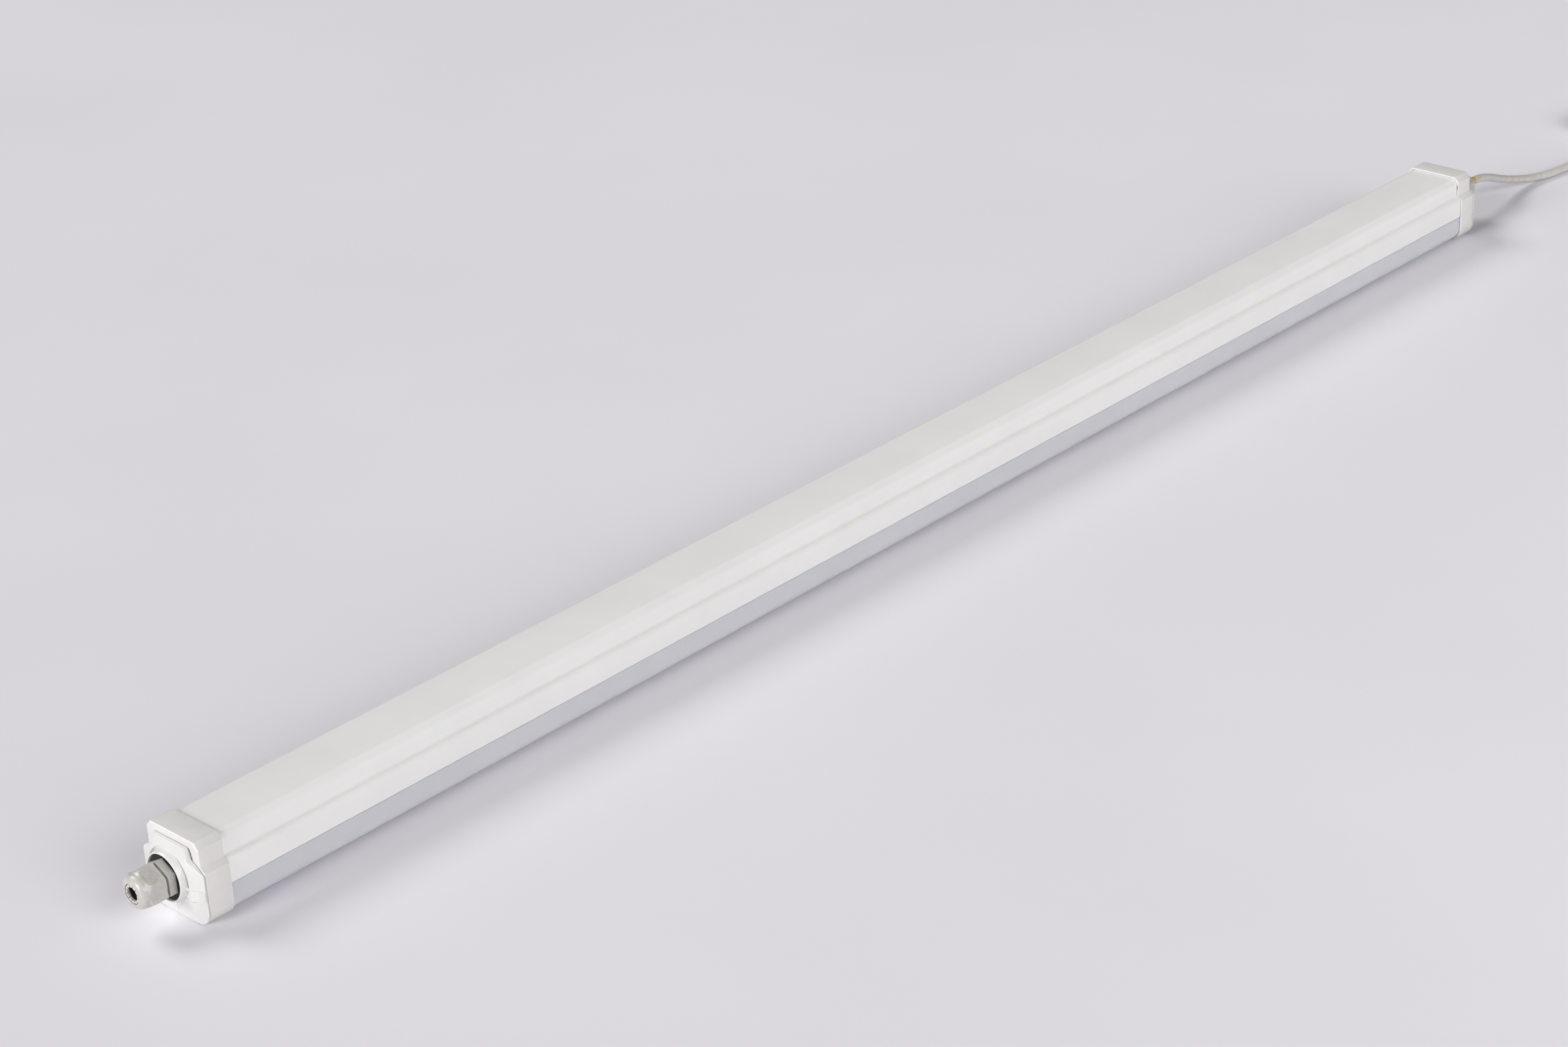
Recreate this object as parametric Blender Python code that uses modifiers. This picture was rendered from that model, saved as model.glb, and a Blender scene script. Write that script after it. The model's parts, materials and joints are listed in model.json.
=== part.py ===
"""A vapor tight linear LED light, about 1.5 m long.

A white housing and an opal diffuser form one long closed section.  A collar closes each end,
and a cover with a raised ring, a well and a cable gland sits on each collar.  The gland at the
left end is open, and a supply cord leaves the one at the right end.  Inside are an aluminium
tray, LED boards, a driver, terminals and their wires.

X runs along the light towards its cord, Y across it and Z up.  The light lies on its diffuser,
with its origin in the middle of the surface that it lies on.
"""
import math

import bmesh
import bpy
from mathutils import Matrix, Vector

MM = 0.001

# Clearances
SEAT_GAP = 0.3 * MM
CUT_OVERRUN = 1.0 * MM
WELD_DISTANCE = 0.001 * MM
STRAIGHT_TURN = 0.0001

# Overall section, shared by the collars and the covers
COLLAR_SPAN = 1496.0 * MM
SECTION_HEIGHT = 62.5 * MM
UPPER_HALF = 27.0 * MM
LOWER_HALF = 31.5 * MM
STEP_TOP = 44.6 * MM
STEP_BOTTOM = 41.0 * MM
FACET_ACROSS = 4.0 * MM
FACET_DOWN = 4.6 * MM
FLOOR_HALF = 8.0 * MM
FLOOR_BOW_RADIUS = 170.0 * MM
BOTTOM_CORNER_RADIUS = 13.0 * MM
CORNER_STEPS = 5

# Long housing and diffuser, which the collars stand proud of
PROUD = 1.5 * MM
HOUSING_WALL = 1.8 * MM
HOUSING_CORNER_RADIUS = 6.0 * MM
HOUSING_EDGE = 25.2 * MM
LEDGE_RISE = 1.8 * MM
LEDGE_INNER_RADIUS = 2.0 * MM
LEDGE_OUTER_RADIUS = 4.2 * MM
RAIL_REACH = 2.5 * MM
RAIL_THICKNESS = 1.2 * MM
RAIL_RISE = 1.8 * MM

# Collars
COLLAR_LENGTH = 20.0 * MM
COLLAR_FRONT = 6.0 * MM
GASKET_GROOVE_DEPTH = 2.0 * MM
GASKET_WIDTH = 1.4 * MM
GASKET_INSET = 1.5 * MM
POCKET_WIDTH = 3.0 * MM
POCKET_SHOULDER = 1.9 * MM
POCKET_SHOULDER_SHARE = 0.75
POCKET_HEIGHT = 7.0 * MM
POCKET_DEPTH = 4.0 * MM
POCKET_UNDER = 0.4 * MM
VENT_HEIGHT = 4.5 * MM
VENT_CUT = 0.8 * MM
VENT_LENGTH = 4.0 * MM

# End covers; every "out" is a distance out from the collar's front face
COVER_TOP_INSET = 6.1 * MM
COVER_NECK_HALF = 17.3 * MM
COVER_NECK_FOOT = 51.6 * MM
COVER_FLARE = (20.3 * MM, 48.6 * MM)
COVER_FLARE_BEND = (18.1 * MM, 49.7 * MM)
COVER_CORNER_RADIUS = 1.6 * MM
COVER_SIDE_OUT = 1.7 * MM
COVER_ROUND_INSETS = (0.45 * MM, 0.95 * MM)
COVER_ROUND_RISES = (0.85 * MM, 0.45 * MM)
COVER_CROWN_SHARES = (0.86, 0.84)
COVER_CROWN_RISES = (1.3 * MM, 0.9 * MM)
SPIGOT_INSET = 4.0 * MM
SPIGOT_WALL = 1.6 * MM
SPIGOT_DEPTH = 5.0 * MM
RING_BORE_RADIUS = 16.7 * MM
RING_WALL = 2.7 * MM
RING_DRAFT = 1.0 * MM
RING_FOOT_SHARE = 0.45
RING_LIP_OUT = 10.5 * MM
RING_LIP_ROUND = 1.2 * MM
WELL_FLOOR_OUT = 7.2 * MM
WELL_WALL = 2.4 * MM
VALLEY_OFFSET = 1.1 * MM
VALLEY_ROUND = 1.5 * MM
VALLEY_OUT = 4.3 * MM
PIT_RADIUS = 1.0 * MM
PIT_FLOOR_OUT = 2.0 * MM
PIT_RISE = 1.6 * MM
SLOT_BELOW_AXIS = 3.4 * MM
SLOT_HEIGHT = 7.2 * MM
SLOT_INNER = 20.0 * MM
LUMP_RADIUS = 3.6 * MM
LUMP_ACROSS = 18.6 * MM
LUMP_OUT = 4.8 * MM
LUMP_ROUND = 1.6 * MM
DISH_CURVE_RADIUS = 22.0 * MM
DISH_FLOOR_OUT = 1.7 * MM
DISH_BELOW_AXIS = 23.0 * MM
DISH_ACROSS = 9.0 * MM
DISH_RINGS = 24
DISH_STEPS = 26

# Cable glands, turned about the gland axis
GLAND_HEIGHT = 33.0 * MM
GLAND_HEX_RADIUS = 14.5 * MM
GLAND_EDGE = 0.3 * MM
WASHER_THICKNESS = 1.5 * MM
WASHER_MARGIN = 0.3 * MM
FLANGE_THICKNESS = 6.0 * MM
SHANK_RADIUS = 9.9 * MM
SHANK_LENGTH = 15.0 * MM
NECK_STEP = 0.7 * MM
NECK_LENGTH = 9.2 * MM
NECK_BORE_RADIUS = 8.9 * MM
NECK_BORE_DEPTH = 7.4 * MM
BODY_BORE_RADIUS = 6.8 * MM
LOCKNUT_MARGIN = 0.9 * MM
LOCKNUT_THICKNESS = 5.0 * MM
LOCKNUT_ROOM = 1.2 * MM
NUT_STAND_OFF = 1.6 * MM
NUT_LENGTH = 19.6 * MM
NUT_THREAD_GAP = 0.35 * MM
NUT_THREAD_ROOM = 0.6 * MM
NUT_CONE_GAP = 1.1 * MM
NUT_MOUTH_GAP = 0.4 * MM
NUT_DOME_ROUND = 5.0 * MM
NUT_DOME_RADIUS = 12.4 * MM
NUT_SHOULDER_BACK = 5.9 * MM
NUT_SHOULDER_RISE = 4.0 * MM
INSERT_GAP = 0.4 * MM
INSERT_WALL = 1.5 * MM
INSERT_SETBACK = 0.5 * MM
INSERT_TIP_RADIUS = 6.9 * MM
INSERT_TIP_BORE = 5.2 * MM
INSERT_TIP_DEPTH = 1.8 * MM
INSERT_TAPER_LENGTH = 9.0 * MM
INSERT_TAPER_WALL = 1.0 * MM
CLAW_SLIT = 0.9 * MM
CLAW_SLIT_LENGTH = 8.0 * MM
CLAW_SLIT_COUNT = 3
SEAL_OPEN_RADIUS = 5.0 * MM
TURN_STEPS = 28

# Tray, LED boards and driver
TRAY_END_SPACE = 48.0 * MM
TRAY_THICKNESS = 1.5 * MM
TRAY_RIB_ACROSS = 17.0 * MM
TRAY_RIB_HEIGHT = 6.0 * MM
BOARD_COUNT = 3
BOARD_SPACE = 10.0 * MM
BOARD_HALF_WIDTH = 11.0 * MM
BOARD_THICKNESS = 1.2 * MM
LED_COUNT = 14
LED_LENGTH = 3.5 * MM
LED_WIDTH = 2.8 * MM
LED_HEIGHT = 0.7 * MM
LED_SINK = 0.2 * MM
SCREW_LED_COUNT = 5
SCREW_RADIUS = 1.35 * MM
SCREW_HOLE_GAP = 0.35 * MM
SCREW_HEAD_RADIUS = 2.8 * MM
SCREW_HEAD_HEIGHT = 1.7 * MM
SCREW_HEAD_ROUND = 0.7 * MM
BOARD_SCREW_LENGTH = 5.0 * MM
SCREW_STEPS = 12
LEAD_HOLE_RADIUS = 3.6 * MM
LEAD_HOLE_STEPS = 20
DRIVER_FROM_HOLE = 120.0 * MM
DRIVER_LENGTH = 190.0 * MM
DRIVER_WIDTH = 28.0 * MM
DRIVER_HEIGHT = 22.0 * MM
DRIVER_EAR = 9.0 * MM
DRIVER_EAR_WIDTH = 14.0 * MM
DRIVER_EAR_THICKNESS = 2.0 * MM
DRIVER_ROUND = 1.5 * MM
DRIVER_SCREW_LENGTH = 4.0 * MM
DRIVER_LEAD_RISE = 10.7 * MM

# Terminals and connectors
BLOCK_LENGTH = 22.0 * MM
BLOCK_WIDTH = 30.0 * MM
BLOCK_HEIGHT = 14.0 * MM
BLOCK_ROUND = 1.0 * MM
BLOCK_INSET = 10.0 * MM
SOCKET_INSET = 18.0 * MM
POLE_PITCH = 8.0 * MM
POLE_COUNT = 3
ENTRY_GAP = 0.6 * MM
ENTRY_DEPTH = 6.0 * MM
PLUG_NOSE_WIDTH = 23.4 * MM
PLUG_NOSE_HEIGHT = 8.4 * MM
PLUG_NOSE_LENGTH = 8.5 * MM
PLUG_LENGTH = 15.0 * MM

# Wires inside
WIRE_RADIUS = 1.2 * MM
WIRE_POINT_STEP = 12.0 * MM
LEAD_RADIUS = 0.8 * MM
LEAD_POINT_STEP = 7.2 * MM
WIRE_CHANNEL_ACROSS = (23.2 * MM, 20.0 * MM, -21.5 * MM)
WIRE_HOP = 2.4 * MM
WIRE_TURN_RUN = 55.0 * MM
LINK_SPAN = 18.0 * MM
LINK_SAG = 1.6 * MM
LINK_POINT_STEP = 2.4 * MM
LINK_ACROSS = 6.0 * MM
LEAD_ACROSS = 2.2 * MM
TAIL_INSIDE = 18.0 * MM
TAIL_SETBACK = 3.0 * MM
CORE_SPREAD = 1.9 * MM
CORE_POINT_STEP = 3.6 * MM

# Supply cord
CORD_RADIUS = 3.75 * MM
CORD_SEAL_GAP = 0.3 * MM
COIL_CENTRE = (1083.0 * MM, 6.0 * MM)
COIL_OUTER = 44.0 * MM
COIL_PITCH = 8.0 * MM
COIL_LAYER = 7.95 * MM
COIL_LIFT = 0.05 * MM
COIL_TURNS = 3
COIL_POINTS = 24
COIL_LEAD_IN = 7.5 * MM
COIL_SELF_GAP = 0.4 * MM
CORD_POINT_STEP = 15.0 * MM
TAIL_POINT_STEP = 5.5 * MM
CORE_RADIUS = 1.2 * MM
CORE_TIP_RADIUS = 0.7 * MM
CORE_TIP_LENGTH = 8.0 * MM

# Places that follow from the sizes above
LEDGE_TOP = STEP_TOP + LEDGE_RISE
TRAY_BOTTOM = HOUSING_EDGE + RAIL_RISE + RAIL_THICKNESS + SEAT_GAP
TRAY_TOP = TRAY_BOTTOM + TRAY_THICKNESS
TRAY_REACH = COLLAR_SPAN / 2 - TRAY_END_SPACE
TRAY_FLOOR = TRAY_TOP + SEAT_GAP
BOARD_LENGTH = (TRAY_REACH * 2 - BOARD_SPACE * (BOARD_COUNT - 1)) / BOARD_COUNT
BOARD_PITCH = BOARD_LENGTH + BOARD_SPACE
BOARD_TOP = TRAY_BOTTOM - SEAT_GAP
BOARD_BOTTOM = BOARD_TOP - BOARD_THICKNESS
LED_PITCH = BOARD_LENGTH / LED_COUNT
SCREW_SPREAD = LED_PITCH * SCREW_LED_COUNT
SCREW_HOLE_RADIUS = SCREW_RADIUS + SCREW_HOLE_GAP
LEAD_HOLE_PLACE = BOARD_PITCH / 2
DRIVER_MIDDLE = LEAD_HOLE_PLACE + DRIVER_FROM_HOLE + DRIVER_LENGTH / 2
BLOCK_MIDDLE = BLOCK_INSET + BLOCK_LENGTH / 2 - TRAY_REACH
SOCKET_MIDDLE = TRAY_REACH - SOCKET_INSET - BLOCK_LENGTH / 2
COVER_TOP = SECTION_HEIGHT - COVER_TOP_INSET
RING_LIP_RADIUS = RING_BORE_RADIUS + RING_WALL
RING_FOOT_RADIUS = RING_LIP_RADIUS + RING_DRAFT
VALLEY_RADIUS = RING_FOOT_RADIUS + VALLEY_OFFSET
SLOT_TOP = GLAND_HEIGHT - SLOT_BELOW_AXIS
SLOT_FLOOR_OUT = COVER_SIDE_OUT
SHANK_HOLE_RADIUS = SHANK_RADIUS + SEAT_GAP
LOCKNUT_RADIUS = GLAND_HEX_RADIUS + LOCKNUT_MARGIN
CAVITY_OUT = WELL_FLOOR_OUT - WELL_WALL
WASHER_LOW = WELL_FLOOR_OUT + SEAT_GAP
WASHER_HIGH = WASHER_LOW + WASHER_THICKNESS
FLANGE_LOW = WASHER_HIGH + SEAT_GAP
FLANGE_HIGH = FLANGE_LOW + FLANGE_THICKNESS
NECK_RADIUS = SHANK_RADIUS + NECK_STEP
NECK_END = FLANGE_HIGH + NECK_LENGTH
NUT_REAR = FLANGE_HIGH + NUT_STAND_OFF
NUT_FRONT = NUT_REAR + NUT_LENGTH
INSERT_RADIUS = NECK_BORE_RADIUS - INSERT_GAP
INSERT_REAR = NECK_END - NECK_BORE_DEPTH + SEAT_GAP
INSERT_FRONT = NUT_FRONT - INSERT_SETBACK
TAPER_REAR = INSERT_FRONT - INSERT_TAPER_LENGTH
ENTRY_RADIUS = WIRE_RADIUS + ENTRY_GAP

# The cord's route from its gland to the coil, chosen by hand
CORD_ROUTE = (
    (0.7813, 0.0000, 0.0330),
    (0.7890, 0.0000, 0.0330),
    (0.7980, 0.0000, 0.0329),
    (0.8080, 0.0000, 0.0320),
    (0.8190, 0.0000, 0.0296),
    (0.8310, 0.0000, 0.0256),
    (0.8440, 0.0000, 0.0206),
    (0.8570, -0.0002, 0.0160),
    (0.8700, -0.0008, 0.0120),
    (0.8830, -0.0020, 0.0086),
    (0.8960, -0.0040, 0.0060),
    (0.9090, -0.0066, 0.0044),
    (0.9220, -0.0094, 0.0038),
    (0.9350, -0.0118, 0.0038),
    (0.9480, -0.0134, 0.0038),
    (0.9610, -0.0146, 0.0038),
    (0.9740, -0.0168, 0.0038),
    (0.9870, -0.0200, 0.0038),
    (1.0000, -0.0239, 0.0038),
    (1.0130, -0.0279, 0.0038),
    (1.0260, -0.0315, 0.0038),
    (1.0390, -0.0343, 0.0038),
    (1.0520, -0.0364, 0.0038),
    (1.0640, -0.0376, 0.0038),
    (1.0700, -0.0380, 0.0038),
    (1.0752, -0.0380, 0.0038),
)

# The cord's last stretch, which follows the coil's upper side round to its stripped end
CORD_TAIL_ROUTE = (
    (1.0909, -0.0380, 0.0117),
    (1.0940, -0.0380, 0.0117),
    (1.0986, -0.0369, 0.0117),
    (1.1037, -0.0345, 0.0117),
    (1.1098, -0.0309, 0.0117),
    (1.1152, -0.0262, 0.0117),
    (1.1200, -0.0209, 0.0117),
    (1.1238, -0.0148, 0.0117),
    (1.1268, -0.0082, 0.0117),
    (1.1285, -0.0012, 0.0117),
    (1.1292, 0.0060, 0.0117),
)

# Stripped cores, each from the sheath's end to its tip
CORE_ROUTES = {
    "live": ((1.1274, 0.0064, 0.0125), (1.1273, 0.0090, 0.0125), (1.1262, 0.0180, 0.0102),
             (1.1244, 0.0270, 0.0046), (1.1218, 0.0362, 0.0012)),
    "neutral": ((1.1292, 0.0064, 0.0099), (1.1292, 0.0090, 0.0098), (1.1290, 0.0180, 0.0070),
                (1.1284, 0.0280, 0.0024), (1.1278, 0.0392, 0.0012)),
    "earth": ((1.1310, 0.0064, 0.0125), (1.1311, 0.0090, 0.0125), (1.1314, 0.0180, 0.0098),
              (1.1316, 0.0275, 0.0040), (1.1314, 0.0380, 0.0012)),
}

# Turns a section drawn across the light so that it is extruded along the light
SECTION_TURN = (math.pi / 2, 0.0, math.pi / 2)
# Turns a piece drawn upright so that it points out of the left end
OUTWARD_TURN = (0.0, -math.pi / 2, 0.0)
UPRIGHT = (0.0, 0.0, 0.0)

ENDS = {"left": (-COLLAR_SPAN / 2, 0.0), "right": (COLLAR_SPAN / 2, math.pi)}


def clear_scene():
    """Remove every object of the scene that the script starts in."""
    for item in list(bpy.data.objects):
        bpy.data.objects.remove(item, do_unlink=True)


def new_collection(name):
    """A collection linked to the scene."""
    collection = bpy.data.collections.new(name)
    bpy.context.scene.collection.children.link(collection)
    return collection


def new_material(name, colour, roughness, metallic=0.0):
    """A plain Principled material."""
    material = bpy.data.materials.new(name)
    material.use_nodes = True
    shader = material.node_tree.nodes["Principled BSDF"]
    shader.inputs["Base Color"].default_value = (*colour, 1.0)
    shader.inputs["Roughness"].default_value = roughness
    shader.inputs["Metallic"].default_value = metallic
    material.diffuse_color = (*colour, 1.0)
    return material


def arc(centre, radius, start, end, steps):
    """Points on an arc of the section plane, from one angle in degrees to another."""
    points = []
    for index in range(steps + 1):
        angle = math.radians(start + (end - start) * index / steps)
        points.append((centre[0] + radius * math.cos(angle), centre[1] + radius * math.sin(angle)))
    return points


def rod(radius, low, high):
    """The profile of a plain round rod."""
    return [(0.0, high), (radius, high), (radius, low), (0.0, low)]


def sleeve(inner, outer, low, high):
    """The profile of a plain round sleeve."""
    return [(outer, high), (outer, low), (inner, low), (inner, high)]


def mirrored(half):
    """A closed outline from its right half, which runs upwards from the bottom."""
    return half + [(-across, up) for across, up in reversed(half)]


def inset_outline(points, distance):
    """Move every side of a closed counter-clockwise outline inwards, and drop sides that vanish."""
    sides = []
    for index, point in enumerate(points):
        here = Vector(point)
        along = (Vector(points[(index + 1) % len(points)]) - here).normalized()
        sides.append((here + Vector((-along.y, along.x)) * distance, along))
    while True:
        corners = []
        for index, (place, along) in enumerate(sides):
            before, before_along = sides[index - 1]
            turn = before_along.cross(along)
            if abs(turn) < STRAIGHT_TURN:
                corners.append(place)
            else:
                corners.append(before + before_along * ((place - before).cross(along) / turn))
        lengths = [
            (corners[(index + 1) % len(sides)] - corners[index]).dot(along)
            for index, (_, along) in enumerate(sides)
        ]
        shortest = min(range(len(sides)), key=lambda index: lengths[index])
        if lengths[shortest] > 0.0:
            return [tuple(corner) for corner in corners]
        sides.pop(shortest)


def bottom_half(half_width, lift, corner_radius):
    """The bowed underside and its corner, from the middle to the foot of the right side."""
    bow = FLOOR_BOW_RADIUS
    across = half_width - corner_radius
    reach = bow - corner_radius
    drop = math.sqrt(reach ** 2 - (across - FLOOR_HALF) ** 2)
    centre = (across, lift + bow - drop)
    meet = math.degrees(math.atan2(across - FLOOR_HALF, drop))
    return [(FLOOR_HALF, lift)] + arc(centre, corner_radius, meet - 90.0, 0.0, CORNER_STEPS)


def collar_outline():
    """The collar's outer outline, with a wide lower part, a step and two top facets."""
    half = bottom_half(LOWER_HALF, 0.0, BOTTOM_CORNER_RADIUS)
    half += [
        (LOWER_HALF, STEP_BOTTOM),
        (UPPER_HALF, STEP_TOP),
        (UPPER_HALF, SECTION_HEIGHT - FACET_DOWN),
        (UPPER_HALF - FACET_ACROSS, SECTION_HEIGHT),
    ]
    return mirrored(half)


def tube_half():
    """The right half of the long section's outline, and the index where its housing starts."""
    upper = UPPER_HALF - PROUD
    lower = LOWER_HALF - PROUD
    top = SECTION_HEIGHT - PROUD
    half = bottom_half(lower, PROUD, BOTTOM_CORNER_RADIUS - PROUD)
    half.append((lower, HOUSING_EDGE - SEAT_GAP / 2))
    housing_start = len(half)
    half.append((lower, HOUSING_EDGE + SEAT_GAP / 2))
    run = upper + LEDGE_INNER_RADIUS - lower + LEDGE_OUTER_RADIUS
    rise = math.sqrt((LEDGE_INNER_RADIUS + LEDGE_OUTER_RADIUS) ** 2 - run ** 2)
    meet = math.degrees(math.atan2(rise, run))
    half += arc((lower - LEDGE_OUTER_RADIUS, LEDGE_TOP - rise), LEDGE_OUTER_RADIUS, 0.0, meet, CORNER_STEPS)
    half += arc((upper + LEDGE_INNER_RADIUS, LEDGE_TOP), LEDGE_INNER_RADIUS, meet + 180.0, 180.0, CORNER_STEPS)[1:]
    corner_centre = (upper - HOUSING_CORNER_RADIUS, top - HOUSING_CORNER_RADIUS)
    half += arc(corner_centre, HOUSING_CORNER_RADIUS, 0.0, 90.0, CORNER_STEPS + 1)
    return half, housing_start


def cover_outline():
    """The cover's outline, which leaves the collar's face in view at the top and upper sides."""
    half = bottom_half(LOWER_HALF, 0.0, BOTTOM_CORNER_RADIUS)
    corner = (COVER_NECK_HALF - COVER_CORNER_RADIUS, COVER_TOP - COVER_CORNER_RADIUS)
    half += [(LOWER_HALF, STEP_BOTTOM), (UPPER_HALF, STEP_TOP), COVER_FLARE, COVER_FLARE_BEND]
    half.append((COVER_NECK_HALF, COVER_NECK_FOOT))
    half += arc(corner, COVER_CORNER_RADIUS, 0.0, 90.0, 2)
    return mirrored(half)


class Maker:
    """Makes named pieces and cutters in their two collections."""

    def __init__(self):
        self.parts = new_collection("vapor_tight_light")
        self.cutters = new_collection("cutters")
        self.materials = {}

    def link(self, item, material=None, parent=None, cutter=False):
        """Put a piece in its collection, with its material and parent."""
        (self.cutters if cutter else self.parts).objects.link(item)
        if cutter:
            item.hide_render = True
            item.display_type = "WIRE"
        if material:
            item.data.materials.clear()
            item.data.materials.append(self.materials[material])
        if parent:
            item.parent = parent
        return item

    def empty(self, name, location, turn=0.0):
        """A frame that carries pieces."""
        item = bpy.data.objects.new(name, None)
        item.location = location
        item.rotation_euler = (0.0, 0.0, turn)
        self.cutters.objects.link(item)
        item.hide_render = True
        return item

    def prism(self, name, outlines, low, high, **where):
        """A flat outline, with holes where it has more than one loop, extruded along X."""
        curve = bpy.data.curves.new(name, "CURVE")
        curve.dimensions = "2D"
        curve.fill_mode = "BOTH"
        curve.extrude = (high - low) / 2
        for outline in outlines:
            spline = curve.splines.new("POLY")
            spline.points.add(len(outline) - 1)
            for point, (across, up) in zip(spline.points, outline):
                point.co = (across, up, 0.0, 1.0)
            spline.use_cyclic_u = True
        drawn = bpy.data.objects.new(name, curve)
        drawn.rotation_euler = SECTION_TURN
        drawn.location = ((low + high) / 2, 0.0, 0.0)
        return self.meshed(drawn, **where)

    def meshed(self, drawn, **where):
        """Turn a drawn curve into a closed mesh of the same name and place."""
        bpy.context.scene.collection.objects.link(drawn)
        bpy.context.view_layer.update()
        graph = bpy.context.evaluated_depsgraph_get()
        mesh = bpy.data.meshes.new_from_object(drawn.evaluated_get(graph))
        form = bmesh.new()
        form.from_mesh(mesh)
        bmesh.ops.remove_doubles(form, verts=form.verts, dist=WELD_DISTANCE)
        bmesh.ops.recalc_face_normals(form, faces=form.faces)
        form.to_mesh(mesh)
        form.free()
        name = drawn.name
        matrix = drawn.matrix_world.copy()
        bpy.data.objects.remove(drawn, do_unlink=True)
        mesh.name = name
        item = bpy.data.objects.new(name, mesh)
        item.matrix_world = matrix
        return self.link(item, **where)

    def turned(self, name, profile, steps=TURN_STEPS, location=(0.0, 0.0, GLAND_HEIGHT), turn=OUTWARD_TURN, **where):
        """A profile of (radius, height) points, turned about its own upright axis."""
        form = bmesh.new()
        points = [form.verts.new((radius, 0.0, height)) for radius, height in profile]
        for first, second in zip(points, points[1:] + points[:1]):
            if first.co.x + second.co.x > WELD_DISTANCE:
                form.edges.new((first, second))
        mesh = bpy.data.meshes.new(name)
        form.to_mesh(mesh)
        form.free()
        item = bpy.data.objects.new(name, mesh)
        item.location = location
        item.rotation_euler = turn
        screw = item.modifiers.new("turn", "SCREW")
        screw.steps = steps
        screw.render_steps = steps
        screw.use_merge_vertices = True
        screw.merge_threshold = WELD_DISTANCE
        screw.use_smooth_shade = True
        return self.link(item, **where)

    def hexagon(self, name, radius, low, high, chamfer=0.0, **where):
        """A hexagon bar along the gland axis, one corner up, between two distances out."""
        form = bmesh.new()
        bmesh.ops.create_cone(
            form, cap_ends=True, segments=6, radius1=radius, radius2=radius, depth=high - low,
            matrix=Matrix.Translation((0.0, 0.0, (low + high) / 2)) @ Matrix.Rotation(math.pi / 2, 4, "Z"),
        )
        turn_to_corner = min(form.verts, key=lambda vert: abs(vert.co.y)).co
        angle = math.atan2(turn_to_corner.y, turn_to_corner.x)
        bmesh.ops.rotate(form, verts=form.verts, matrix=Matrix.Rotation(-angle, 3, "Z"))
        if chamfer:
            upright = [edge for edge in form.edges if abs(edge.verts[0].co.z - edge.verts[1].co.z) > chamfer]
            bmesh.ops.bevel(form, geom=upright, offset=chamfer, segments=1, affect="EDGES")
        mesh = bpy.data.meshes.new(name)
        form.to_mesh(mesh)
        form.free()
        item = bpy.data.objects.new(name, mesh)
        item.location = (0.0, 0.0, GLAND_HEIGHT)
        item.rotation_euler = OUTWARD_TURN
        return self.link(item, **where)

    def box(self, name, low, high, rounding=0.0, **where):
        """A box between two corners, with rounded edges where asked."""
        form = bmesh.new()
        bmesh.ops.create_cube(form, size=1.0)
        size = Vector(high) - Vector(low)
        bmesh.ops.scale(form, vec=size, verts=form.verts)
        mesh = bpy.data.meshes.new(name)
        form.to_mesh(mesh)
        form.free()
        item = bpy.data.objects.new(name, mesh)
        item.location = (Vector(low) + Vector(high)) / 2
        if rounding:
            bevel = item.modifiers.new("rounded", "BEVEL")
            bevel.width = rounding
            bevel.segments = 2
        return self.link(item, **where)

    def group(self, name, shapes, **where):
        """Separate closed solids of one kind in one piece; each shape adds itself to the form."""
        form = bmesh.new()
        for shape in shapes:
            shape(form)
        mesh = bpy.data.meshes.new(name)
        form.to_mesh(mesh)
        form.free()
        return self.link(bpy.data.objects.new(name, mesh), **where)

    def tube(self, name, routes, radius, resolution=2, **where):
        """Round wires along their routes, with flat closed ends."""
        curve = bpy.data.curves.new(name, "CURVE")
        curve.dimensions = "3D"
        curve.bevel_depth = radius
        curve.bevel_resolution = resolution
        curve.use_fill_caps = True
        for route in routes:
            spline = curve.splines.new("POLY")
            spline.points.add(len(route) - 1)
            for point, place in zip(spline.points, route):
                point.co = (*place, 1.0)
        return self.meshed(bpy.data.objects.new(name, curve), **where)


def boolean(item, tool, operation="DIFFERENCE"):
    """Cut a piece with a tool, join the tool to it or keep what they share."""
    modifier = item.modifiers.new(operation.lower(), "BOOLEAN")
    modifier.operation = operation
    modifier.solver = "EXACT"
    modifier.object = tool


def smooth(item, angle=math.radians(30.0)):
    """Shade round faces smooth, keep sharp edges and let the large faces stay even."""
    item.data.shade_smooth()
    item.data.set_sharp_from_angle(angle=angle)
    even = item.modifiers.new("even_shading", "WEIGHTED_NORMAL")
    even.keep_sharp = True


def curve_through(points, step):
    """Evenly spaced points on the smooth curve through the given points."""
    places = [Vector(point) for point in points]
    padded = [2 * places[0] - places[1]] + places + [2 * places[-1] - places[-2]]
    fine = []
    samples = 12
    for index in range(1, len(padded) - 2):
        before, start, end, after = padded[index - 1:index + 3]
        for sample in range(samples):
            t = sample / samples
            fine.append(
                0.5 * (2 * start + (end - before) * t + (2 * before - 5 * start + 4 * end - after) * t ** 2
                       + (3 * start - before - 3 * end + after) * t ** 3)
            )
    fine.append(places[-1])
    total = sum((second - first).length for first, second in zip(fine, fine[1:]))
    count = max(2, round(total / step))
    spaced = [fine[0]]
    walked = 0.0
    for first, second in zip(fine, fine[1:]):
        length = (second - first).length
        while len(spaced) < count and walked + length >= total * len(spaced) / count:
            share = (total * len(spaced) / count - walked) / length
            spaced.append(first.lerp(second, share))
        walked += length
    return [tuple(place) for place in spaced] + [tuple(fine[-1])]


def path_length(points):
    """The length of a run of straight pieces."""
    return sum((Vector(second) - Vector(first)).length for first, second in zip(points, points[1:]))


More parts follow.
